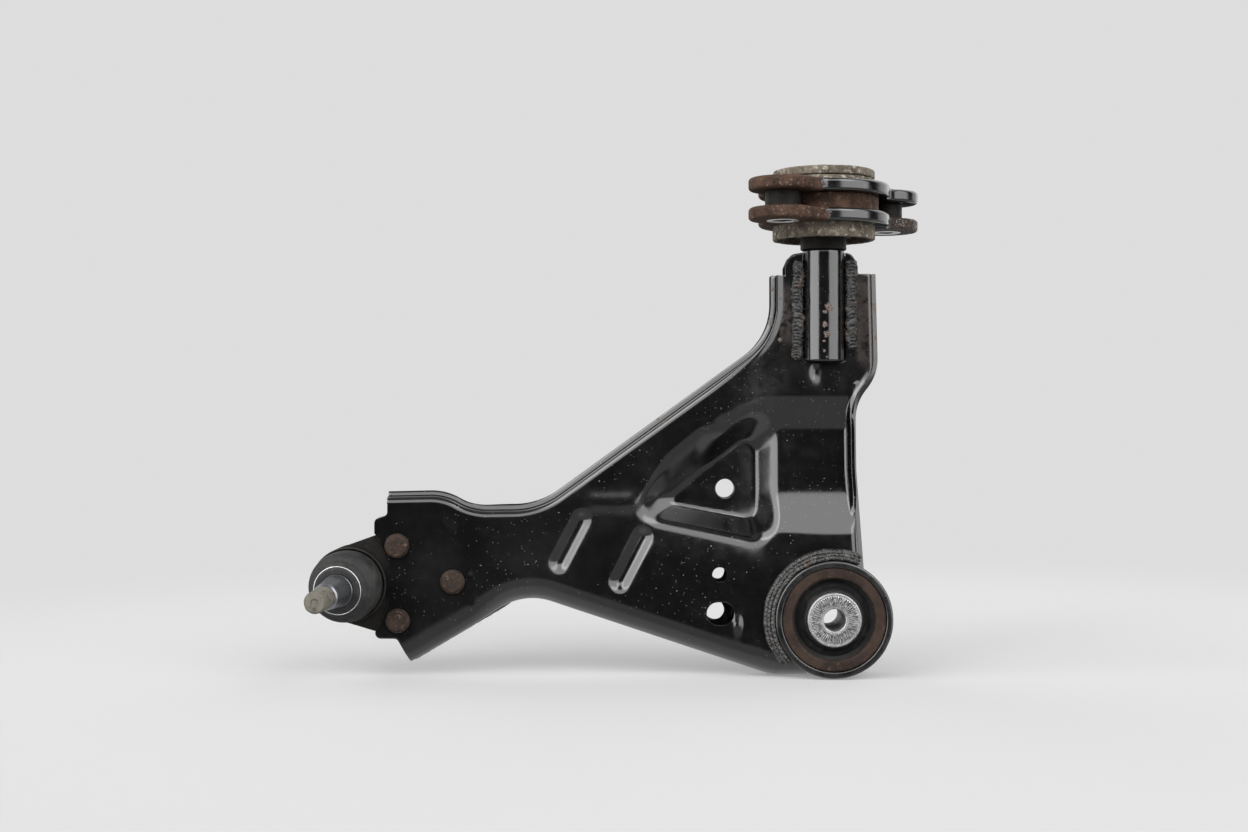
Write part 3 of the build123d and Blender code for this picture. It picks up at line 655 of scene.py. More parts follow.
def with_grooves(h, x, z):
    """Adds the two short grooves that are pressed into both sheets."""
    for a, b, depth in GROOVES:
        distance, _ = segment_distance(x, z, a, b)
        h = h - depth * (1 - ramp((distance - 0.8) / 7.6, 0.2, 0.55))
    return h


def triangle_recess(x, z, depth, walls):
    """The three-sided recess; walls gives the width of the slope at each of its sides."""
    corner = 7.0 + 8.0 * smooth((z - 92.0) / 20.0)
    sides = []
    for (ax, az), (bx, bz) in zip(TRIANGLE, TRIANGLE[1:] + TRIANGLE[:1]):
        length = math.hypot(bx - ax, bz - az)
        outward = (-(bz - az) / length, (bx - ax) / length)
        sides.append(np.maximum((x - ax) * outward[0] + (z - az) * outward[1] + corner, 0.0))
    total = sum(s * s for s in sides)
    width = sum(s * s * w for s, w in zip(sides, walls)) / np.maximum(total, 1e-9)
    distance = np.sqrt(total) - corner
    return -depth * (1 - ramp(distance / np.maximum(width, 1.0), 0.14, 0.6))


def front_height(x, z):
    """Pressed shape of the front sheet's face, outwards from its flat level."""
    above = side_of_line(x, z, UPPER_STEP)
    right = smooth((x + 52.0) / 20.0)
    rise = right * ramp((z - 53.0) / 32.0, 0.15, 0.6) + (1 - right) * smooth((z - 30.0) / 50.0)
    h = -5.0 * smooth((x + 82.0) / 60.0) * rise
    drop = np.interp(x, [-145.0, -105.0, -75.0, -40.0], [0.0, 2.4, 3.6, 3.8])
    h = h - 1.25 * drop * ramp((13.0 - above) / 26.0, 0.15, 0.85) * rise
    ridge = smooth((x + 166.0) / 14.0) * (1 - smooth((x + 131.0) / 12.0))
    h = h + 1.1 * ridge * np.exp(-((z - 74.5) / 6.5) ** 2)
    upper_left = 15.0 + 12.0 * smooth((x + 126.0) / 22.0) * (1 - smooth((x + 88.0) / 20.0))
    h = h + triangle_recess(x, z, 13.2, (upper_left, 17.5, 18.5))
    h = with_grooves(h, x, z)
    radius = np.hypot(x, z)
    h = h + 0.8 * (1 - ramp((radius - 44.0) / 16.0, 0.4, 0.6))
    h = h - 1.5 * np.exp(-(((x + 10.0) / 3.0) ** 2 + ((z - 157.5) / 5.5) ** 2))
    h = h + 1.6 * np.exp(-(((x + 61.0) / 2.2) ** 2 + ((z + 3.5) / 6.0) ** 2))
    crescent, _ = segment_distance(x, z, (-232.0, 27.0), (-230.0, 10.0))
    h = h - 0.5 * np.exp(-(crescent / 2.2) ** 2)
    return h


def rear_level(x, z):
    return -1.4 + (REAR_Y + 1.4) * past_ball_end(x)


def rear_height(x, z):
    """Pressed shape of the rear sheet's face: a raised triangle, grooves, a dish and a rib over the pin."""
    h = -triangle_recess(x, z, 3.0, (9.0, 9.0, 9.0))
    h = with_grooves(h, x, z)
    radius = np.hypot(x, z)
    h = h - 2.5 * ramp((radius - 44.0) / 12.0, 0.4, 0.6) * ramp((76.0 - radius) / 12.0, 0.4, 0.6)
    distance, _ = segment_distance(x, z, (-5.0, 146.0), (-5.0, 246.0))
    h = h + 1.6 * (1 - ramp((distance - 9.0) / 6.0, 0.3, 0.6))
    distance, _ = segment_distance(x, z, (-214.0, 44.0), (-188.0, 44.0))
    return h - 2.0 * (1 - ramp((distance - 6.0) / 7.0, 0.3, 0.6))


def front_flange_end(x, z):
    return 4.0 - 8.7 * (1 - past_ball_end(x))


def rear_flange_end(x, z):
    """The long lower edge butts; everything else wraps round the front sheet."""
    butt = 4.3 - 8.7 * (1 - past_ball_end(x))
    lower_edge = (z < 22.0) & ~((x > 5.0) & (z > -30.0))
    return np.where(lower_edge, butt, -6.0)


# ------------------------------------------------------------------ materials
class Look:
    """A procedural material: a Principled shader fed by noise in the piece's own coordinates."""

    def __init__(self, name, metallic=0.0, specular=0.5):
        self.material = bpy.data.materials.new(name)
        self.material.use_nodes = True
        self.tree = self.material.node_tree
        self.shader = self.tree.nodes["Principled BSDF"]
        self.shader.inputs["Metallic"].default_value = metallic
        self.shader.inputs["Specular IOR Level"].default_value = specular
        self.place = self.tree.nodes.new("ShaderNodeTexCoord").outputs["Object"]

    def node(self, kind, inputs, output=0, **settings):
        node = self.tree.nodes.new(kind)
        for key, value in settings.items():
            setattr(node, key, value)
        for key, value in inputs.items():
            if isinstance(value, bpy.types.NodeSocket):
                self.tree.links.new(value, node.inputs[key])
            else:
                node.inputs[key].default_value = value
        return node.outputs[output]

    def noise(self, size, detail=3.0, rough=0.6, warp=0.0):
        values = {"Vector": self.place, "Scale": 1000.0 / size, "Detail": detail,
                  "Roughness": rough, "Distortion": warp}
        return self.node("ShaderNodeTexNoise", values)

    def cells(self, size, output="Distance"):
        values = {"Vector": self.place, "Scale": 1000.0 / size}
        return self.node("ShaderNodeTexVoronoi", values, output)

    def span(self, value, low, high, to_low=0.0, to_high=1.0):
        values = {0: value, 1: low, 2: high, 3: to_low, 4: to_high}
        return self.node("ShaderNodeMapRange", values, interpolation_type="SMOOTHSTEP")

    def math(self, operation, a, b=0.0):
        return self.node("ShaderNodeMath", {0: a, 1: b}, operation=operation)

    def mix(self, share, a, b):
        values = {0: share, 6: colour(a), 7: colour(b)}
        return self.node("ShaderNodeMix", values, 2, data_type="RGBA")

    def specks(self, size, radius, share):
        """Small round grains in a share of the cells."""
        near = self.span(self.cells(size), radius * 1.3, radius * 0.7)
        pick = self.node("ShaderNodeSeparateColor", {0: self.cells(size, "Color")})
        return self.math("MULTIPLY", near, self.span(pick, 1.0 - share - 0.02, 1.0 - share + 0.02))

    def coordinate(self, axis):
        return self.node("ShaderNodeSeparateXYZ", {0: self.place}, axis)

    def near(self, spots, rag=0.6):
        """Ragged patches round (x, y, z, radius) places in millimetres."""
        ragged = self.math("MULTIPLY", self.math("SUBTRACT", self.noise(2.2, 5.0, 0.8), 0.5), rag * 7.0)
        total = None
        for x, y, z, radius in spots:
            place = (x * MM, y * MM, z * MM)
            away = self.node("ShaderNodeVectorMath", {0: self.place, 1: place}, 1, operation="DISTANCE")
            away = self.math("DIVIDE", away, radius * MM)
            patch = self.span(self.math("ADD", away, ragged), 1.0, 0.8)
            total = patch if total is None else self.math("MAXIMUM", total, patch)
        return self.math("MULTIPLY", total, self.span(self.noise(1.1, 4.0, 0.7), 0.44, 0.52))

    def both(self, a, b):
        return self.math("MAXIMUM", a, b)

    def times(self, a, b):
        return self.math("MULTIPLY", a, b)

    def finish(self, base, roughness, height=None, depth=0.1, second=None, second_depth=0.05):
        self.tree.links.new(base, self.shader.inputs["Base Color"])
        self.tree.links.new(roughness, self.shader.inputs["Roughness"])
        if height is not None:
            values = {"Height": height, "Distance": depth * MM, "Strength": 1.0}
            normal = self.node("ShaderNodeBump", values)
            if second is not None:
                values = {"Height": second, "Distance": second_depth * MM, "Strength": 1.0, "Normal": normal}
                normal = self.node("ShaderNodeBump", values)
            self.tree.links.new(normal, self.shader.inputs["Normal"])
        return self.material


def colour(value):
    if isinstance(value, bpy.types.NodeSocket):
        return value
    if isinstance(value, (int, float)):
        value = (value, value, value)
    return (*value, 1.0)


BLACK = (0.0022, 0.0022, 0.0024)
DUST = (0.26, 0.24, 0.215)
RUST = (0.030, 0.015, 0.009)
RUST_LIGHT = (0.115, 0.068, 0.046)


def coated(name, spots=(), dust=1.0, gloss=0.2, rust=0.0, tint=None, bands=()):
    """Black dip coat: a soft gloss with dust grains, dull smears and rust where it is chipped."""
    look = Look(name)
    film = look.span(look.noise(70.0, 4.0, 0.6), 0.42, 0.72)
    smear = look.span(look.noise(14.0, 5.0, 0.7, 0.4), 0.5, 0.72)
    grains = look.both(look.specks(1.7, 0.12, 0.3), look.specks(4.5, 0.075, 0.5))
    crowd = look.span(look.noise(38.0, 3.0), 0.4, 0.62)
    grains = look.times(look.times(grains, crowd), 0.7 * dust)
    base = look.mix(look.times(film, 0.008 * dust), BLACK, DUST)
    base = look.mix(look.times(smear, 0.006 * dust), base, DUST)
    base = look.mix(look.times(grains, 0.6), base, DUST)
    if tint is not None:
        base = look.mix(look.times(film, 0.25), base, tint)
    orange_peel = look.noise(1.1, 2.0)
    rough = look.span(look.noise(9.0, 4.0, 0.65), 0.3, 0.75, gloss * 0.8, gloss * 1.35)
    rough = look.math("ADD", rough, look.times(look.both(look.times(film, 0.06), grains), 0.5))
    for low_x, high_x, low_z, high_z in bands:
        across = look.times(look.span(look.coordinate(0), (low_x - 1.5) * MM, (low_x + 1.5) * MM),
                            look.span(look.coordinate(0), (high_x + 1.5) * MM, (high_x - 1.5) * MM))
        along = look.times(look.span(look.coordinate(2), (low_z - 8.0) * MM, (low_z + 8.0) * MM),
                           look.span(look.coordinate(2), (high_z + 8.0) * MM, (high_z - 8.0) * MM))
        dull = look.times(look.times(across, along), look.span(look.noise(6.0, 5.0, 0.7), 0.3, 0.5))
        scuff = look.mix(look.noise(1.5, 4.0), (0.004, 0.003, 0.0026), (0.016, 0.011, 0.009))
        base = look.mix(dull, base, scuff)
        rough = look.math("ADD", rough, look.times(dull, 0.12))
    corroded = look.span(look.noise(7.0, 6.0, 0.7), 0.80 - rust, 0.84 - rust)
    if spots:
        corroded = look.both(corroded, look.near(spots))
    brown = look.mix(look.noise(1.2, 3.0), RUST, RUST_LIGHT)
    base = look.mix(corroded, base, brown)
    rough = look.math("ADD", rough, look.times(corroded, 0.6))
    height = look.math("ADD", look.times(orange_peel, 0.12), look.times(corroded, look.noise(0.7)))
    return look.finish(base, rough, height, 0.12)


def scaled_weld(name):
    """Black weld metal with chalky scale and some brown."""
    look = Look(name, specular=0.35)
    scale = look.span(look.noise(1.5, 4.0, 0.75), 0.42, 0.68)
    chalk = look.span(look.noise(4.5, 4.0, 0.7), 0.48, 0.66)
    base = look.mix(look.times(scale, 0.2), (0.002, 0.002, 0.002), (0.06, 0.057, 0.052))
    base = look.mix(look.times(chalk, look.times(scale, 0.35)), base, (0.22, 0.205, 0.185))
    brown = look.span(look.noise(11.0, 4.0), 0.56, 0.7)
    base = look.mix(look.times(brown, 0.5), base, (0.06, 0.03, 0.016))
    rough = look.span(scale, 0.0, 1.0, 0.14, 0.4)
    return look.finish(base, rough, look.noise(1.1, 5.0, 0.75), 0.5)


def rusted(name, dark, light, size=3.0, pale=None, pale_share=0.3, metallic=0.0, rough=(0.55, 0.9),
           depth=0.25):
    """Rusty or scaly bare steel: two tones broken up at several sizes, with an optional pale third."""
    look = Look(name, metallic=metallic, specular=0.08)
    broad = look.span(look.noise(size * 5.0, 5.0, 0.65), 0.35, 0.65)
    fine = look.span(look.noise(size * 0.6, 6.0, 0.75), 0.35, 0.7)
    base = look.mix(look.times(broad, 0.75), dark, light)
    base = look.mix(look.times(fine, 0.45), base, light)
    if pale is not None:
        broken = look.noise(size * 1.6, 5.0, 0.75, 0.3)
        patch = look.span(broken, 0.62 - pale_share * 0.2, 0.70 - pale_share * 0.1)
        base = look.mix(patch, base, pale)
    pits = look.span(look.cells(size * 0.5), 0.05, 0.4)
    base = look.mix(look.span(look.noise(size * 0.35, 2.0), 0.6, 0.72), base, (0.01, 0.008, 0.007))
    roughness = look.span(fine, 0.0, 1.0, *rough)
    return look.finish(base, roughness, look.noise(size * 0.4, 5.0, 0.8), depth, pits, depth * 0.5)


def rubber(name, grey=0.012, dusty=0.25):
    """Dull rubber or plastic with a powdery bloom."""
    look = Look(name, specular=0.12)
    powder = look.span(look.noise(9.0, 5.0, 0.7), 0.45, 0.7)
    fine = look.span(look.noise(0.8, 4.0, 0.7), 0.5, 0.75)
    base = look.mix(look.times(powder, dusty * 0.3), grey, (0.16, 0.15, 0.14))
    base = look.mix(look.times(fine, dusty * 0.2), base, (0.22, 0.21, 0.19))
    base = look.mix(look.times(look.specks(2.2, 0.09, 0.3), 0.4 * dusty), base, DUST)
    rough = look.span(powder, 0.0, 1.0, 0.55, 0.8)
    return look.finish(base, rough, look.noise(0.9, 4.0, 0.7), 0.06)


def bare_steel(name, base_grey, worn, size=1.5, rough=(0.28, 0.5), metallic=0.85, depth=0.05, share=0.5):
    """Uncoated steel with worn streaks and dark grain."""
    look = Look(name, metallic=metallic)
    streak = look.span(look.noise(size * 4.0, 5.0, 0.7, 0.5), 0.45, 0.72)
    fine = look.noise(size * 0.4, 4.0, 0.75)
    base = look.mix(look.times(streak, share), base_grey, worn)
    base = look.mix(look.span(fine, 0.55, 0.75, 0.0, 0.5), base, (0.04, 0.035, 0.03))
    roughness = look.span(fine, 0.3, 0.7, *rough)
    return look.finish(base, roughness, fine, depth)


def face_steel(name):
    """Bright pressed sleeve end: radial serration marks round the Y axis."""
    look = Look(name, metallic=0.7)
    x, z = look.coordinate(0), look.coordinate(2)
    angle = look.math("ARCTAN2", z, x)
    radius = look.math("SQRT", look.math("ADD", look.times(x, x), look.times(z, z)))
    unrolled = {0: look.times(angle, 0.0125), 1: look.times(radius, 0.22), 2: 0.0}
    polar = look.node("ShaderNodeCombineXYZ", unrolled)
    values = {"Vector": polar, "Scale": 1500.0, "Detail": 4.0, "Roughness": 0.7}
    streak = look.node("ShaderNodeTexNoise", values)
    toothed = look.times(look.span(radius, 0.0082, 0.0092), look.span(radius, 0.0156, 0.0146))
    base = look.mix(look.span(look.noise(3.0, 4.0), 0.4, 0.7), (0.20, 0.20, 0.205), (0.13, 0.128, 0.125))
    base = look.mix(look.times(toothed, look.span(streak, 0.46, 0.6)), base, (0.035, 0.034, 0.033))
    base = look.mix(look.times(toothed, look.span(streak, 0.42, 0.3)), base, (0.42, 0.42, 0.42))
    rough = look.span(streak, 0.3, 0.7, 0.3, 0.55)
    return look.finish(base, rough, look.times(toothed, streak), 0.35, look.noise(0.5, 3.0), 0.05)


def plate_look(name, split, tilt, lobe=None):
    """Bracket plate: rusty on its left part and coated on the rest, with a ragged border."""
    look = Look(name)
    rag = look.times(look.math("SUBTRACT", look.noise(7.0, 5.0, 0.7), 0.5), 0.016)
    x, y = look.coordinate(0), look.coordinate(1)
    line = look.math("ADD", look.math("ADD", x, look.times(y, tilt)), rag)
    worn = look.span(line, split * MM + 0.0012, split * MM - 0.0012)
    worn = look.both(worn, look.span(look.noise(6.0, 6.0, 0.7), 0.66, 0.72))
    if lobe is not None:
        worn = look.both(worn, look.near([lobe], 0.3))
    broad = look.span(look.noise(12.0, 5.0, 0.7), 0.35, 0.68)
    fine = look.span(look.noise(1.6, 6.0, 0.75), 0.35, 0.7)
    brown = look.mix(broad, (0.009, 0.0055, 0.004), (0.040, 0.022, 0.015))
    brown = look.mix(look.times(fine, 0.4), brown, (0.080, 0.045, 0.029))
    brown = look.mix(look.span(look.noise(1.6, 3.0), 0.62, 0.7), brown, (0.12, 0.10, 0.085))
    grains = look.times(look.specks(2.4, 0.08, 0.3), 0.5)
    black = look.mix(grains, BLACK, DUST)
    base = look.mix(worn, black, brown)
    gloss = look.span(look.noise(8.0, 3.0), 0.3, 0.7, 0.12, 0.24)
    sheen = look.span(worn, 0.0, 1.0, 0.5, 0.1)
    look.tree.links.new(sheen, look.shader.inputs["Specular IOR Level"])
    rough = look.math("ADD", look.times(worn, 0.6), gloss)
    height = look.times(worn, look.noise(1.4, 6.0, 0.75))
    return look.finish(base, rough, height, 0.5)


UPRIGHT_BANDS = [(-33.5, -25.5, 176.0, 212.0), (15.5, 32.0, 164.0, 222.0)]
front_paint = coated("front_sheet_coat", dust=1.0, gloss=0.15, bands=UPRIGHT_BANDS, spots=[
    (-109.0, -11.5, 126.3, 1.8), (-33.5, -10.0, 178.0, 2.0), (-32.5, -10.0, 205.0, 1.6),
    (24.5, -11.0, 193.0, 1.8), (21.5, -11.0, 171.0, 1.3), (-74.0, -13.0, 148.0, 0.8)], rust=0.03)
rear_paint = coated("rear_sheet_coat", dust=1.1, gloss=0.18, bands=UPRIGHT_BANDS[1:], spots=[
    (-38.5, -4.0, 190.0, 3.0), (-38.8, -4.0, 212.0, 2.4), (29.0, -4.0, 200.0, 4.0),
    (29.5, -4.0, 180.0, 2.4), (-112.0, -5.0, 128.5, 1.6)], rust=0.05, tint=(0.03, 0.017, 0.011))
pin_paint = coated("pin_coat", dust=0.5, gloss=0.13, spots=[
    (-3.0, -17.4, 199.3, 2.7), (-5.6, -17.4, 196.0, 1.6), (-5.6, -17.4, 188.0, 1.9),
    (-4.4, -17.4, 182.0, 2.2), (-6.0, -17.4, 177.5, 1.0), (-6.0, -17.4, 171.0, 1.2),
    (-4.5, -17.4, 167.0, 0.9)], rust=0.02)
ring_paint = coated("ring_coat", dust=1.2, gloss=0.26, rust=0.05)
weld_look = scaled_weld("weld_scale")
housing_look = rusted("housing_steel", (0.002, 0.002, 0.0018), (0.008, 0.0072, 0.006), 3.0,
                      pale=(0.02, 0.018, 0.015), pale_share=0.1)
rivet_look = rusted("rivet_steel", (0.006, 0.0045, 0.0035), (0.024, 0.016, 0.012), 1.6,
                    pale=(0.075, 0.045, 0.028), pale_share=0.3, rough=(0.4, 0.7), depth=0.2)
collar_look = rusted("bush_collar_rust", (0.008, 0.005, 0.004), (0.026, 0.0165, 0.0125), 2.6,
                     pale=(0.045, 0.031, 0.024), pale_share=0.2, rough=(0.55, 0.8), depth=0.2)
washer_look = rusted("rough_collar_steel", (0.032, 0.027, 0.021), (0.120, 0.101, 0.078), 1.8,
                     pale=(0.25, 0.225, 0.185), pale_share=0.5, metallic=0.1, depth=0.45)
band_look = rusted("flaky_band_rust", (0.010, 0.0055, 0.004), (0.055, 0.030, 0.020), 2.5,
                   pale=(0.12, 0.085, 0.062), pale_share=0.3, depth=0.5)
spacer_look = rusted("spacer_dull_steel", (0.003, 0.0026, 0.0023), (0.011, 0.009, 0.0075), 3.0,
                     rough=(0.45, 0.7), depth=0.15)
# Pin bush inner sleeve: dark steel, made near black partly as painted shade from the collar around it.
dark_steel_and_shade_look = rusted("sleeve_dark_steel_and_painted_shade", (0.0015, 0.0015, 0.0015), (0.006, 0.005, 0.004), 2.0,
                         pale=(0.03, 0.027, 0.024), pale_share=0.1, rough=(0.35, 0.6), depth=0.25)
zinc_look = bare_steel("spacer_bright_end", (0.55, 0.55, 0.54), (0.35, 0.33, 0.30), 2.0, (0.3, 0.5))
stud_look = bare_steel("stud_shank_steel", (0.13, 0.135, 0.145), (0.08, 0.08, 0.085), 2.0,
                       (0.22, 0.4), 0.9, 0.03)
thread_look = bare_steel("stud_thread_steel", (0.085, 0.078, 0.063), (0.016, 0.014, 0.011), 1.0,
                         (0.35, 0.55), 0.5, 0.5, 0.95)
sleeve_look = face_steel("bush_sleeve_steel")
boot_look = rubber("boot_rubber", 0.009, 0.3)
bush_look = rubber("bush_rubber", 0.006, 0.2)
wire_look = bare_steel("boot_ring_steel", (0.45, 0.45, 0.45), (0.2, 0.2, 0.2), 1.5, (0.25, 0.4), 0.9, 0.02)
band_steel_look = rusted("boot_clamp_steel", (0.006, 0.006, 0.006), (0.02, 0.019, 0.018), 3.0,
                         rough=(0.4, 0.6), depth=0.05)
seat_look = rubber("seat_plastic", 0.35, 0.1)
upper_plate_look = plate_look("bracket_upper_coat", -22.0, 0.25)
lower_plate_look = plate_look("bracket_lower_coat", -16.0, 0.2, (43.0, 24.0, 250.0, 22.0))


# ------------------------------------------------------------------ shells
def piece(obj, body, node):
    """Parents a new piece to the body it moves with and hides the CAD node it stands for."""
    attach(obj, body)
    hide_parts(node)
    return obj


def hole_loops(places):
    return [circle(x, z, r, max(24, int(2 * math.pi * r / 1.1))) for x, z, r in places]


PIN_SLOT = rounded([(-18.8, 164.2, 3.0), (-18.8, 262.0, 0), (8.8, 262.0, 0), (8.8, 164.2, 3.0)], 6)
RIVETS = [(-279.0, 46.5, 4.05), (-278.5, -1.5, 4.05), (-243.5, 23.5, 4.05)]
front_slot = rounded([(-80.75, 10.3, 7.25), (-63.25, 10.3, 7.25), (-63.25, -4.3, 7.25),
                      (-80.75, -4.3, 7.25)], 14)
front_holes = hole_loops(RIVETS + [(-68.0, 82.5, 6.2), (-72.5, 28.0, 4.7)])
front_holes += [sliced(front_slot, 1.1), sliced(PIN_SLOT, 1.4)]
rear_holes = hole_loops(RIVETS + [(-68.0, 82.5, 6.2), (-72.5, 28.0, 4.7), (-74.5, 3.5, 6.7)])

front_base = moved_edges(CORNERS, by_kind(3.3, 0.0, 0.0))
front_bends = by_kind(4.5, 15.0, 0.0)
front_bends[6] = 7.5
rear_bends = by_kind(4.0, 6.0, 0.0)
front_shell = shell("front_sheet", front_base, lambda x, z: FRONT_Y + 0 * x, -1, front_bends,
                    front_flange_end, front_height, front_holes, front_paint)
piece(front_shell, "arm", "arm_front_shell")
rear_shell = shell("rear_sheet", CORNERS, rear_level, 1, rear_bends,
                   rear_flange_end, rear_height, rear_holes, rear_paint, rim_round=2.8)
piece(rear_shell, "arm", "arm_rear_shell")


# ------------------------------------------------------------------ ring bush
ORIGIN, BACK = (0, 0, 0), (0, 1, 0)


def grain_bump(amount, size, seed):
    return lambda r, s, a, p: amount * fractal(p, size, seed, 3)


piece(lathe("ring", [(37.5, -22, 1.3), (37.5, 20, 1.3), (33.3, 20, 0.7), (33.3, -22, 0.8)], ORIGIN, BACK,
            ring_paint, 180, 2.0, grain_bump(0.05, 4.0, 11)), "arm", "bush_housing_ring")
piece(lathe("bush_collar", [(26.0, -21, 1.6), (33.25, -21, 1.2), (33.25, 18.5, 0.8), (31.26, 18.5, 0.5),
                            (31.26, -17.4, 0.6), (26.0, -17.4, 0.8)], ORIGIN, BACK,
            collar_look, 180, 1.2, grain_bump(0.09, 3.0, 12)),
      "arm", "front_bush_outer_sleeve")


def sleeve_teeth(r, s, angle, points):
    """Serrations pressed into both end faces, and a turned groove at their outer edge."""
    face = np.abs(s) > 22.6
    zone = smooth((r - 8.6) / 0.8) * (1 - smooth((r - 14.6) / 0.6))
    teeth = np.abs(((angle / (2 * math.pi) * 60.0) % 1.0) * 2 - 1)
    groove = np.exp(-((r - 15.4) / 0.35) ** 2)
    return np.where(face, -0.42 * zone * (teeth > 0.5) - 0.3 * groove, 0.0) + 0.05 * fractal(points, 1.2, 14)


piece(lathe("bush_inner_sleeve", [(7.0, -23, 0.9), (17.3, -23, 1.0), (17.3, 23, 1.0), (7.0, 23, 0.9)],
            ORIGIN, BACK, sleeve_look, 480, 0.6, sleeve_teeth),
      "ring_sleeve", "front_bush_inner_sleeve")

OUTER, MIDDLE, INNER, SECTORS = 31.2, 24.2, 17.35, 12
OUTER_RUBBER = [(MIDDLE, -12.6, 0), (27.0, -13.6, 1.0), (OUTER, -16.2, 0.6), (OUTER, 16.2, 0.6),
                (27.0, 13.0, 2.0), (MIDDLE, 12.0, 0)]
INNER_RUBBER = [(INNER, -19.2, 0.5), (18.6, -18.6, 1.2), (20.6, -14.4, 2.5), (MIDDLE, -12.6, 0),
                (MIDDLE, 12.0, 0), (20.6, 15.0, 2.5), (18.6, 18.4, 1.2), (INNER, 19.0, 0.5)]
WIDE = 360.0 / SECTORS
_, side, up = frame_for(BACK)
for sector in range(SECTORS):
    arc = (sector * WIDE, (sector + 1) * WIDE)
    ring_part = lathe(f"bush_rubber_outer_{sector}", OUTER_RUBBER, ORIGIN, BACK, bush_look, 17, 1.6, arc=arc)
    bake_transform(ring_part)
    core_part = lathe(f"bush_rubber_inner_{sector}", INNER_RUBBER, ORIGIN, BACK, bush_look, 17, 1.6, arc=arc)
    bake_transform(core_part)
    for part in (ring_part, core_part):
        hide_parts("front_bush_rubber")


def ring_arc(radius, y, first, last, spacing=0.4):
    t = np.radians(np.linspace(first, last, int(abs(last - first) * radius * math.pi / 180 / spacing)))
    path = np.stack([radius * np.cos(t), y + 0 * t, radius * np.sin(t)], 1)
    lift = np.stack([0.45 * np.cos(t), -0.89 + 0 * t, 0.45 * np.sin(t)], 1)
    return path, lift


# name, radius, level along Y, width, noise seed
RING_BEADS = [("inner", 38.9, -19.2, 3.2, 21), ("middle", 40.9, -17.9, 3.2, 22),
              ("outer", 42.9, -16.0, 3.8, 23)]
for label, radius, level, width, seed in RING_BEADS:
    path, lift = ring_arc(radius, level, 65.0, 224.0)
    piece(bead(f"ring_weld_{label}", path, lift, width, 2.0, weld_look, 2.9, 0.35, 0.3, 20, 5.0, seed, 0.25),
          "arm", "bush_ring_weld")

# ------------------------------------------------------------------ pin, its welds and the seam
PIN = (-5.0, -4.0, 0.0)
UP = (0, 0, 1)
piece(lathe("pivot_pin_body", [(0, 164.5, 0), (13.5, 164.5, 1.4), (13.5, 236, 0.8), (11.0, 236.2, 0.3),
                               (11.0, 287.3, 0.3), (14.0, 287.4, 0.6), (13.0, 289.5, 1.2), (7.0, 290.7, 1.5),
                               (0, 290.7, 0)], PIN, UP, pin_paint, 144, 2.0, grain_bump(0.03, 5.0, 15)),
      "arm", "pivot_pin")


def upright(x, y, low, high, spacing=0.4):
    z = np.arange(low, high, spacing)
    return np.stack([x + 0 * z, y + 0 * z, z], 1)


for name, node, x, low, high, lean, seed in (
    ("pin_weld_l", "pin_weld_left", -22.0, 165.0, 231.0, -0.3, 31),
    ("pin_weld_r", "pin_weld_right", 12.0, 172.0, 232.0, 0.3, 32),
):
    path = upright(x, -6.9, low, high)
    lift = np.tile((lean, -1.0, 0.0), (len(path), 1))
    piece(bead(name, path, lift, 8.2, 3.9, weld_look, 2.4, 0.35, 0.75, 26, 4.0, seed, 0.8),
          "arm", node)

run = np.array((-197.5 + 294.5, 0, 15.0 + 42.5))
run /= np.linalg.norm(run)
down = np.array((run[2], 0, -run[0]))
start = np.array((-294.5, 4.15, -42.5)) + run * 28.0
t = np.arange(0, 74.0, 0.4)
path = start + run * t[:, None] + down * 0.1
lift = np.tile(down, (len(path), 1))
piece(bead("seam_weld", path, lift, 5.0, 0.95, weld_look, 2.2, 0.3, 0.2, 20, 4.0, 41, 0.3),
      "arm", "shell_seam_weld")

# ------------------------------------------------------------------ pin bush and bracket
piece(lathe("pin_bush_collar", [(29.6, 242.5, 0.8), (32.8, 242.5, 1.0), (32.8, 281.2, 0.6),
                                (29.6, 281.2, 0.6)],
            PIN, UP, washer_look, 180, 1.5, grain_bump(0.16, 3.2, 51)),
      "bracket", "rear_bush_outer_sleeve")
piece(lathe("pin_bush_washer", [(11.02, 281.65, 0.4), (32.6, 281.65, 1.2), (32.6, 287.25, 1.4),
                                (11.02, 287.25, 0.4)],
            PIN, UP, washer_look, 180, 1.5, grain_bump(0.16, 3.0, 52)),
      "arm", "rear_bush_washer")
piece(lathe("pin_bush_rubber", [(14.75, 244.0, 0.5), (18.0, 245.0, 1.5), (22.0, 249.5, 2.5),
                                (29.55, 247.5, 1.0), (29.55, 280.0, 0.8), (22.0, 278.0, 2.0),
                                (14.75, 280.0, 0.5)],
            PIN, UP, bush_look, 120, 1.8, grain_bump(0.08, 4.0, 53)),
      "arm", "rear_bush_rubber")
piece(lathe("pin_bush_sleeve", [(11.02, 236.4, 0.3), (14.7, 236.4, 0.8), (14.7, 281.5, 0.5),
                                (11.02, 281.5, 0.3)],
            PIN, UP, dark_steel_and_shade_look, 120, 2.0, grain_bump(0.3, 5.0, 54)),
      "arm", "rear_bush_inner_sleeve")
piece(lathe("centre_band", [(32.85, 259.6, 0.4), (35.0, 259.6, 0.5), (35.0, 269.9, 0.5), (32.85, 269.9, 0.4)],
            PIN, UP, band_look, 200, 0.9, grain_bump(0.35, 2.6, 55)),
      "bracket", "bracket_centre_band")


def dress(node, material):
    """Gives a CAD node that stays visible its material."""
    data = nodes[node].data
    data.materials.clear()
    data.materials.append(material)


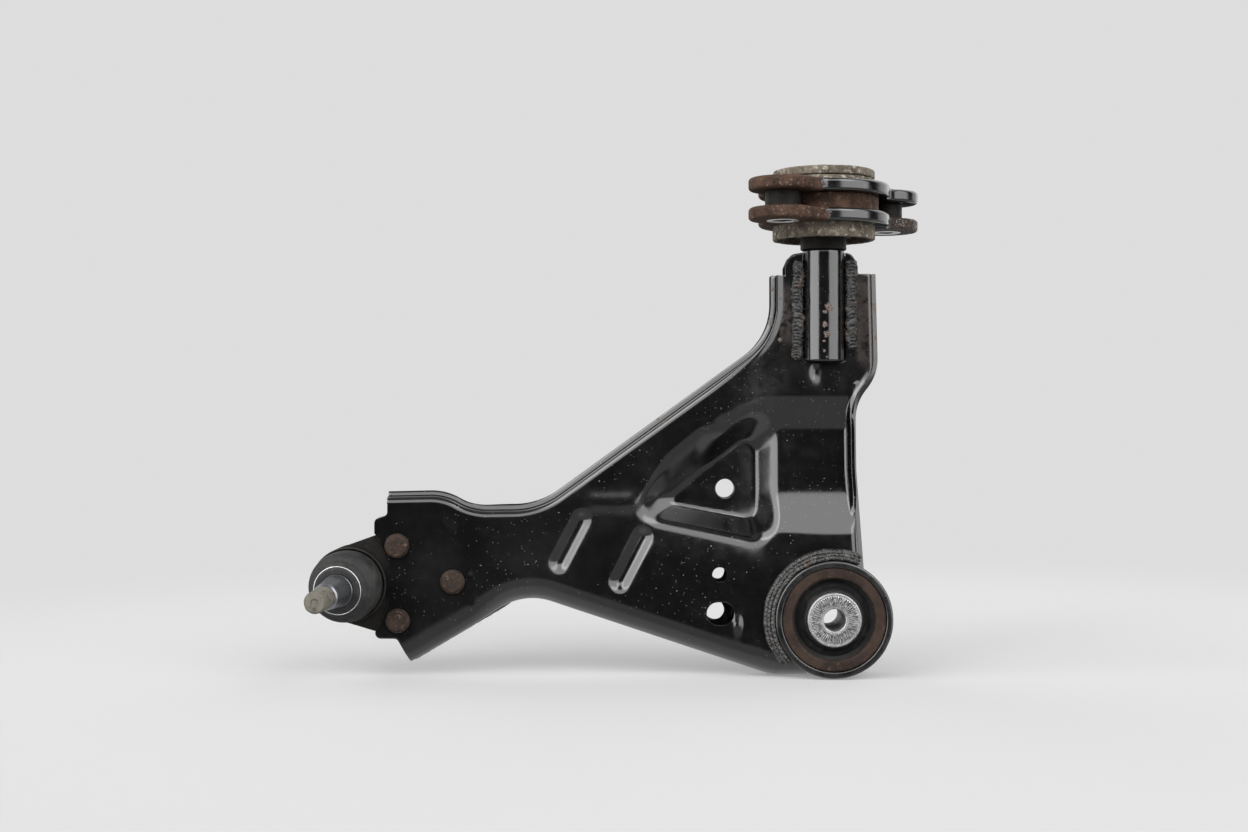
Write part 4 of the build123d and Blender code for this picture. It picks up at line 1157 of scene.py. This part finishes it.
dress("bracket_upper_plate", upper_plate_look)
dress("bracket_lower_plate", lower_plate_look)
SPACER_PROFILE = [(6.5, 251.2, 0.5), (10.2, 251.2, 0.5), (10.2, 259.5, 0), (11.2, 259.6, 0.4),
                  (11.2, 269.9, 0.4), (10.2, 270.0, 0), (10.2, 278.3, 0.5), (6.5, 278.3, 0.5)]
BRIGHT_BELOW, BRIGHT_ABOVE = 251.9, 277.6
for label, (x, y) in (("left", (-34.5, -40.0)), ("right", (40.0, 32.0))):
    spacer = lathe(f"spacer_{label}", SPACER_PROFILE, (x, y, 0), UP, spacer_look, 96, 1.0,
                   grain_bump(0.03, 3.0, 56))
    spacer.data.materials.append(zinc_look)
    for polygon in spacer.data.polygons:
        z = polygon.center.z / MM
        if z < BRIGHT_BELOW or z > BRIGHT_ABOVE:
            polygon.material_index = 1
    piece(spacer, "bracket", f"bracket_spacer_{label}")

# ------------------------------------------------------------------ ball joint
BALL = np.array((-310.0, 2.0, 21.6))
FORWARD = (0, -1, 0)
tilt, lean = math.radians(8.3), np.array((-10.5, 0.0, -4.8)) / math.hypot(10.5, 4.8)
STUD = math.sin(tilt) * lean + math.cos(tilt) * np.array((0, -1.0, 0))

dress("ball_joint_housing", housing_look)
dress("ball_joint_cover", housing_look)
dress("ball_joint_seat", seat_look)
piece(lathe("boot_wire", [(22.9, 14.4, 0.9), (24.0, 14.4, 0.5), (24.0, 16.4, 0.5), (22.9, 16.4, 0.9)],
            BALL, FORWARD, band_steel_look, 128, 0.8), "arm", "boot_lower_ring")


def rivet_bump(r, s, angle, points):
    """A shallow dish and a ring mark on the front head, and grain all over."""
    front = s < -13.5
    dish = -0.25 * np.exp(-(r / 3.2) ** 2) - 0.35 * np.exp(-((r - 5.0) / 0.45) ** 2)
    return dish * front + 0.07 * fractal(points, 2.4, 60)


RIVET_PROFILE = [(0, -16.2, 0), (6.2, -16.1, 1.6), (7.85, -14.6, 0.8), (7.85, -13.05, 0.3), (4.0, -13.02, 0),
                 (4.0, -1.35, 0), (7.0, -1.35, 0.3), (5.5, 1.2, 1.2), (0, 1.6, 0)]
for index, (x, z, _) in enumerate(RIVETS):
    rivet = lathe(f"rivet_{index}", RIVET_PROFILE, (x, 0, z), BACK, rivet_look, 72, 0.9, rivet_bump)
    piece(rivet, "arm", "ball_joint_rivets")


def boot_axis(share):
    """Direction across the boot, from straight ahead at share 0 to along the stud at share 1."""
    along = (1 - share) * np.array((0, -1.0, 0)) + share * STUD
    return along / np.linalg.norm(along)


def boot_half(name, stations, bend):
    """Closed shell of the boot between stations of (distance, lean share, outer radius, inner radius).

    bend (a lean share and two distances) is not used.
    """
    segments = 120
    outer = [(d, share, r) for d, share, r, _ in stations]
    inner = [(d, share, r) for d, share, _, r in stations]
    loop = outer + inner[::-1]
    points = []
    for angle in np.arange(segments) / segments * 2 * math.pi:
        for distance, share, radius in loop:
            along = boot_axis(share)
            side = np.cross(np.array((0, 0, 1.0)), along)
            side /= np.linalg.norm(side)
            up = np.cross(along, side)
            points.append(BALL + along * distance + radius * (math.cos(angle) * side + math.sin(angle) * up))
    obj = make_object(name, points, grid_faces(segments, len(loop), True, True, flip=True), boot_look)
    sharpen(obj, 45)
    share, start, end = bend
    along = boot_axis(share)
    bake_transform(obj)
    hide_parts("ball_boot")
    return obj


def station_curve(keys, steps):
    """Stations eased through key values, with the same number of steps from each key to the next."""
    keys = np.array(keys, float)
    t = np.linspace(0, len(keys) - 1, (len(keys) - 1) * steps + 1)
    index = np.minimum((t + 1e-9).astype(int), len(keys) - 2)
    f = (t - index)[:, None]
    before = keys[np.maximum(index - 1, 0)]
    a, b = keys[index], keys[index + 1]
    after = keys[np.minimum(index + 2, len(keys) - 1)]
    value = 0.5 * (2 * a + (b - before) * f + (2 * before - 5 * a + 4 * b - after) * f ** 2
                   + (3 * a - before - 3 * b + after) * f ** 3)
    return [tuple(row) for row in value]


# The split is past the boot's widest part.
BOOT_KEYS = [(14.0, 0.0, 21.3, 19.6), (16.8, 0.0, 21.3, 19.6), (18.4, 0.0, 22.2, 19.6),
             (20.6, 0.15, 22.6, 20.0), (23.6, 0.45, 22.6, 20.4), (26.2, 0.65, 21.9, 20.0),
             (28.2, 0.8, 20.0, 18.2), (29.4, 0.88, 18.2, 16.6), (30.3, 0.94, 17.5, 15.6),
             (31.2, 1.0, 16.6, 14.0), (32.4, 1.0, 15.3, 11.3), (32.6, 1.0, 15.0, 11.1)]
BOOT_SPLIT, BOOT_STEPS = 5, 5
split_distance, split_share = BOOT_KEYS[BOOT_SPLIT][:2]
boot_stations = station_curve(BOOT_KEYS, BOOT_STEPS)
boot_half("boot_lower", boot_stations[:BOOT_SPLIT * BOOT_STEPS + 1],
          (split_share, 15.0, split_distance))
boot_half("boot_upper", boot_stations[BOOT_SPLIT * BOOT_STEPS:],
          (1.0, split_distance + 1.1, 32.6))
piece(lathe("boot_top_lip", [(10.6, 32.7, 0.2), (15.0, 32.7, 0.4), (15.0, 33.7, 0.5), (13.6, 34.4, 0.6),
                             (10.6, 34.6, 0.4)],
            BALL, STUD, boot_look, 128, 0.8), "boot_ring", "boot_upper_ring")
piece(lathe("boot_top_wire", [(14.9, 32.9, 0.3), (15.5, 32.9, 0.3), (15.5, 33.6, 0.3), (14.9, 33.6, 0.3)],
            BALL, STUD, wire_look, 128, 0.8), "boot_ring", "boot_upper_ring")


def stud_thread(r, s, angle, points):
    """M14 x 1.5 helix, dulled at the crests and knocked about near the tip."""
    zone = smooth((s - 61.0) / 1.0) * (1 - smooth((s - 78.6) / 0.8))
    turn = (s / 1.5 - angle / (2 * math.pi)) % 1.0
    groove = np.clip(np.abs(turn * 2 - 1) * 1.25 - 0.15, 0, 1)
    wear = 0.75 + 0.25 * lattice_noise(points, 3.0, 71)
    side = (r > 6.2).astype(float)
    return -0.8 * zone * (1 - groove) * wear * side + 0.03 * fractal(points, 1.5, 72)


SHANK_PROFILE = [(0, -14.0, 0), (7.0, -12.1, 3.0), (12.1, -7.0, 3.0), (14.0, 0.0, 5.0), (12.1, 7.0, 3.0),
                 (7.6, 11.8, 0.5), (7.5, 24.0, 1.0), (8.5, 29.0, 1.0), (10.5, 32.3, 0.5), (10.5, 35.2, 0.5),
                 (10.1, 35.6, 0.3), (8.25, 58.8, 1.0), (7.05, 60.0, 0.4), (7.05, 60.6, 0), (0, 60.6, 0)]
TIP_PROFILE = [(0, 60.4, 0), (6.95, 60.4, 0), (7.0, 78.9, 0), (5.9, 80.0, 0.3), (2.6, 80.0, 0.3),
               (2.0, 79.4, 0.2), (0, 79.2, 0)]
piece(lathe("stud_shank", SHANK_PROFILE, BALL, STUD, stud_look, 120, 1.5, grain_bump(0.02, 3.0, 73)),
      "stud", "ball_stud")
piece(lathe("stud_thread", TIP_PROFILE, BALL, STUD, thread_look, 120, 0.16, stud_thread),
      "stud", "ball_stud")

# ------------------------------------------------------------------ floor, light and camera
FLOOR_Z = -38.2
FLOOR_RADII = (0.5, 300, 900, 9000)
FLOOR_SIDES = 96
BACKGROUND, FLOOR_GLOW = 0.725, 0.3


def stage_floor():
    look = Look("floor_paper", specular=0.1)
    inputs = look.tree.nodes["Principled BSDF"].inputs
    inputs["Roughness"].default_value = 0.9
    x, y = look.coordinate(0), look.coordinate(1)
    away = look.math("SQRT", look.math("ADD", look.times(x, x), look.times(y, y)))
    fade = look.span(away, 0.45, 1.0)
    grain = look.span(look.noise(2.0), 0.3, 0.7, 0.985, 1.0)
    tree = look.tree
    tree.links.new(look.mix(grain, 0.200, 0.212), inputs["Base Color"])
    inputs["Emission Color"].default_value = colour(BACKGROUND)
    inputs["Emission Strength"].default_value = FLOOR_GLOW
    glow = tree.nodes.new("ShaderNodeEmission")
    glow.inputs["Color"].default_value = colour(BACKGROUND)
    blend_node = tree.nodes.new("ShaderNodeMixShader")
    tree.links.new(fade, blend_node.inputs[0])
    tree.links.new(tree.nodes["Principled BSDF"].outputs[0], blend_node.inputs[1])
    tree.links.new(glow.outputs[0], blend_node.inputs[2])
    tree.links.new(blend_node.outputs[0], tree.nodes["Material Output"].inputs[0])
    t = np.arange(FLOOR_SIDES) / FLOOR_SIDES * 2 * math.pi
    rings = [np.stack([r * np.cos(t) - 130, r * np.sin(t), 0 * t + FLOOR_Z], 1) for r in FLOOR_RADII]
    faces = grid_faces(len(FLOOR_RADII), FLOOR_SIDES, close_columns=True, flip=True)
    floor = make_object("floor", np.concatenate(rings), faces, look.material)
    floor.visible_glossy = False


stage_floor()


def studio_world():
    """Pale to the camera; for reflections, soft panels to each side, above and behind."""
    world = bpy.data.worlds.new("studio")
    scene.world = world
    world.use_nodes = True
    tree = world.node_tree
    tree.nodes.clear()

    def node(kind, inputs=None, output=0, **settings):
        made = tree.nodes.new(kind)
        for key, value in settings.items():
            setattr(made, key, value)
        for key, value in (inputs or {}).items():
            if isinstance(value, bpy.types.NodeSocket):
                tree.links.new(value, made.inputs[key])
            else:
                made.inputs[key].default_value = value
        return made.outputs[output]

    def calc(operation, a, b=0.0):
        return node("ShaderNodeMath", {0: a, 1: b}, operation=operation)

    direction = node("ShaderNodeTexCoord", output="Generated")
    x = node("ShaderNodeSeparateXYZ", {0: direction}, 0)
    y = node("ShaderNodeSeparateXYZ", {0: direction}, 1)
    z = node("ShaderNodeSeparateXYZ", {0: direction}, 2)
    azimuth = calc("ARCTAN2", x, calc("MULTIPLY", y, -1.0))
    elevation = calc("ARCSINE", z)

    def between(value, low, high, soft):
        low, high, soft = (math.radians(v) for v in (low, high, soft))
        up = {0: value, 1: low - soft, 2: low + soft}
        fall = {0: value, 1: high + soft, 2: high - soft}
        up, fall = (node("ShaderNodeMapRange", v, interpolation_type="SMOOTHSTEP") for v in (up, fall))
        return calc("MULTIPLY", up, fall)

    total = None
    for strength, azimuths, elevations, soft in PANELS:
        panel = calc("MULTIPLY", between(azimuth, *azimuths, soft), between(elevation, *elevations, soft))
        panel = calc("MULTIPLY", panel, strength)
        total = panel if total is None else calc("ADD", total, panel)
    total = calc("ADD", total, AMBIENT)
    camera_ray = node("ShaderNodeLightPath", output="Is Camera Ray")
    shown = node("ShaderNodeMix", {0: camera_ray, 2: total, 3: BACKGROUND}, 0)
    light = node("ShaderNodeBackground", {"Color": shown, "Strength": 1.0})
    out = tree.nodes.new("ShaderNodeOutputWorld")
    tree.links.new(light, out.inputs[0])


# strength, azimuth range, elevation range, softness; azimuth 0 is towards the camera, 90 is +X
AMBIENT = 0.005
PANELS = [
    (7.0, (-84, -33), (-12, 55), 3),
    (5.0, (24, 78), (-12, 55), 3),
    (5.0, (-50, 50), (15, 54), 3),
    (0.5, (-181, 181), (66, 91), 8),
    (0.70, (-181, 181), (-91, -15), 3),
    (0.5, (-181, 181), (-91, -50), 8),
    (1.7, (-158, -104), (-15, 60), 5),
    (1.7, (104, 158), (-15, 60), 5),
    (1.1, (-181, -126), (34, 66), 5),
    (1.1, (126, 181), (34, 66), 5),
]
studio_world()

camera = bpy.data.objects.new("camera", bpy.data.cameras.new("camera"))
scene.collection.objects.link(camera)
camera.data.lens = 50
camera.data.sensor_width = 36
camera.data.clip_end = 50
camera.location = (-0.13375, -1.1223, 0.1296)
camera.rotation_euler = (math.radians(90), 0, 0)
scene.camera = camera
scene.view_settings.view_transform = "Standard"
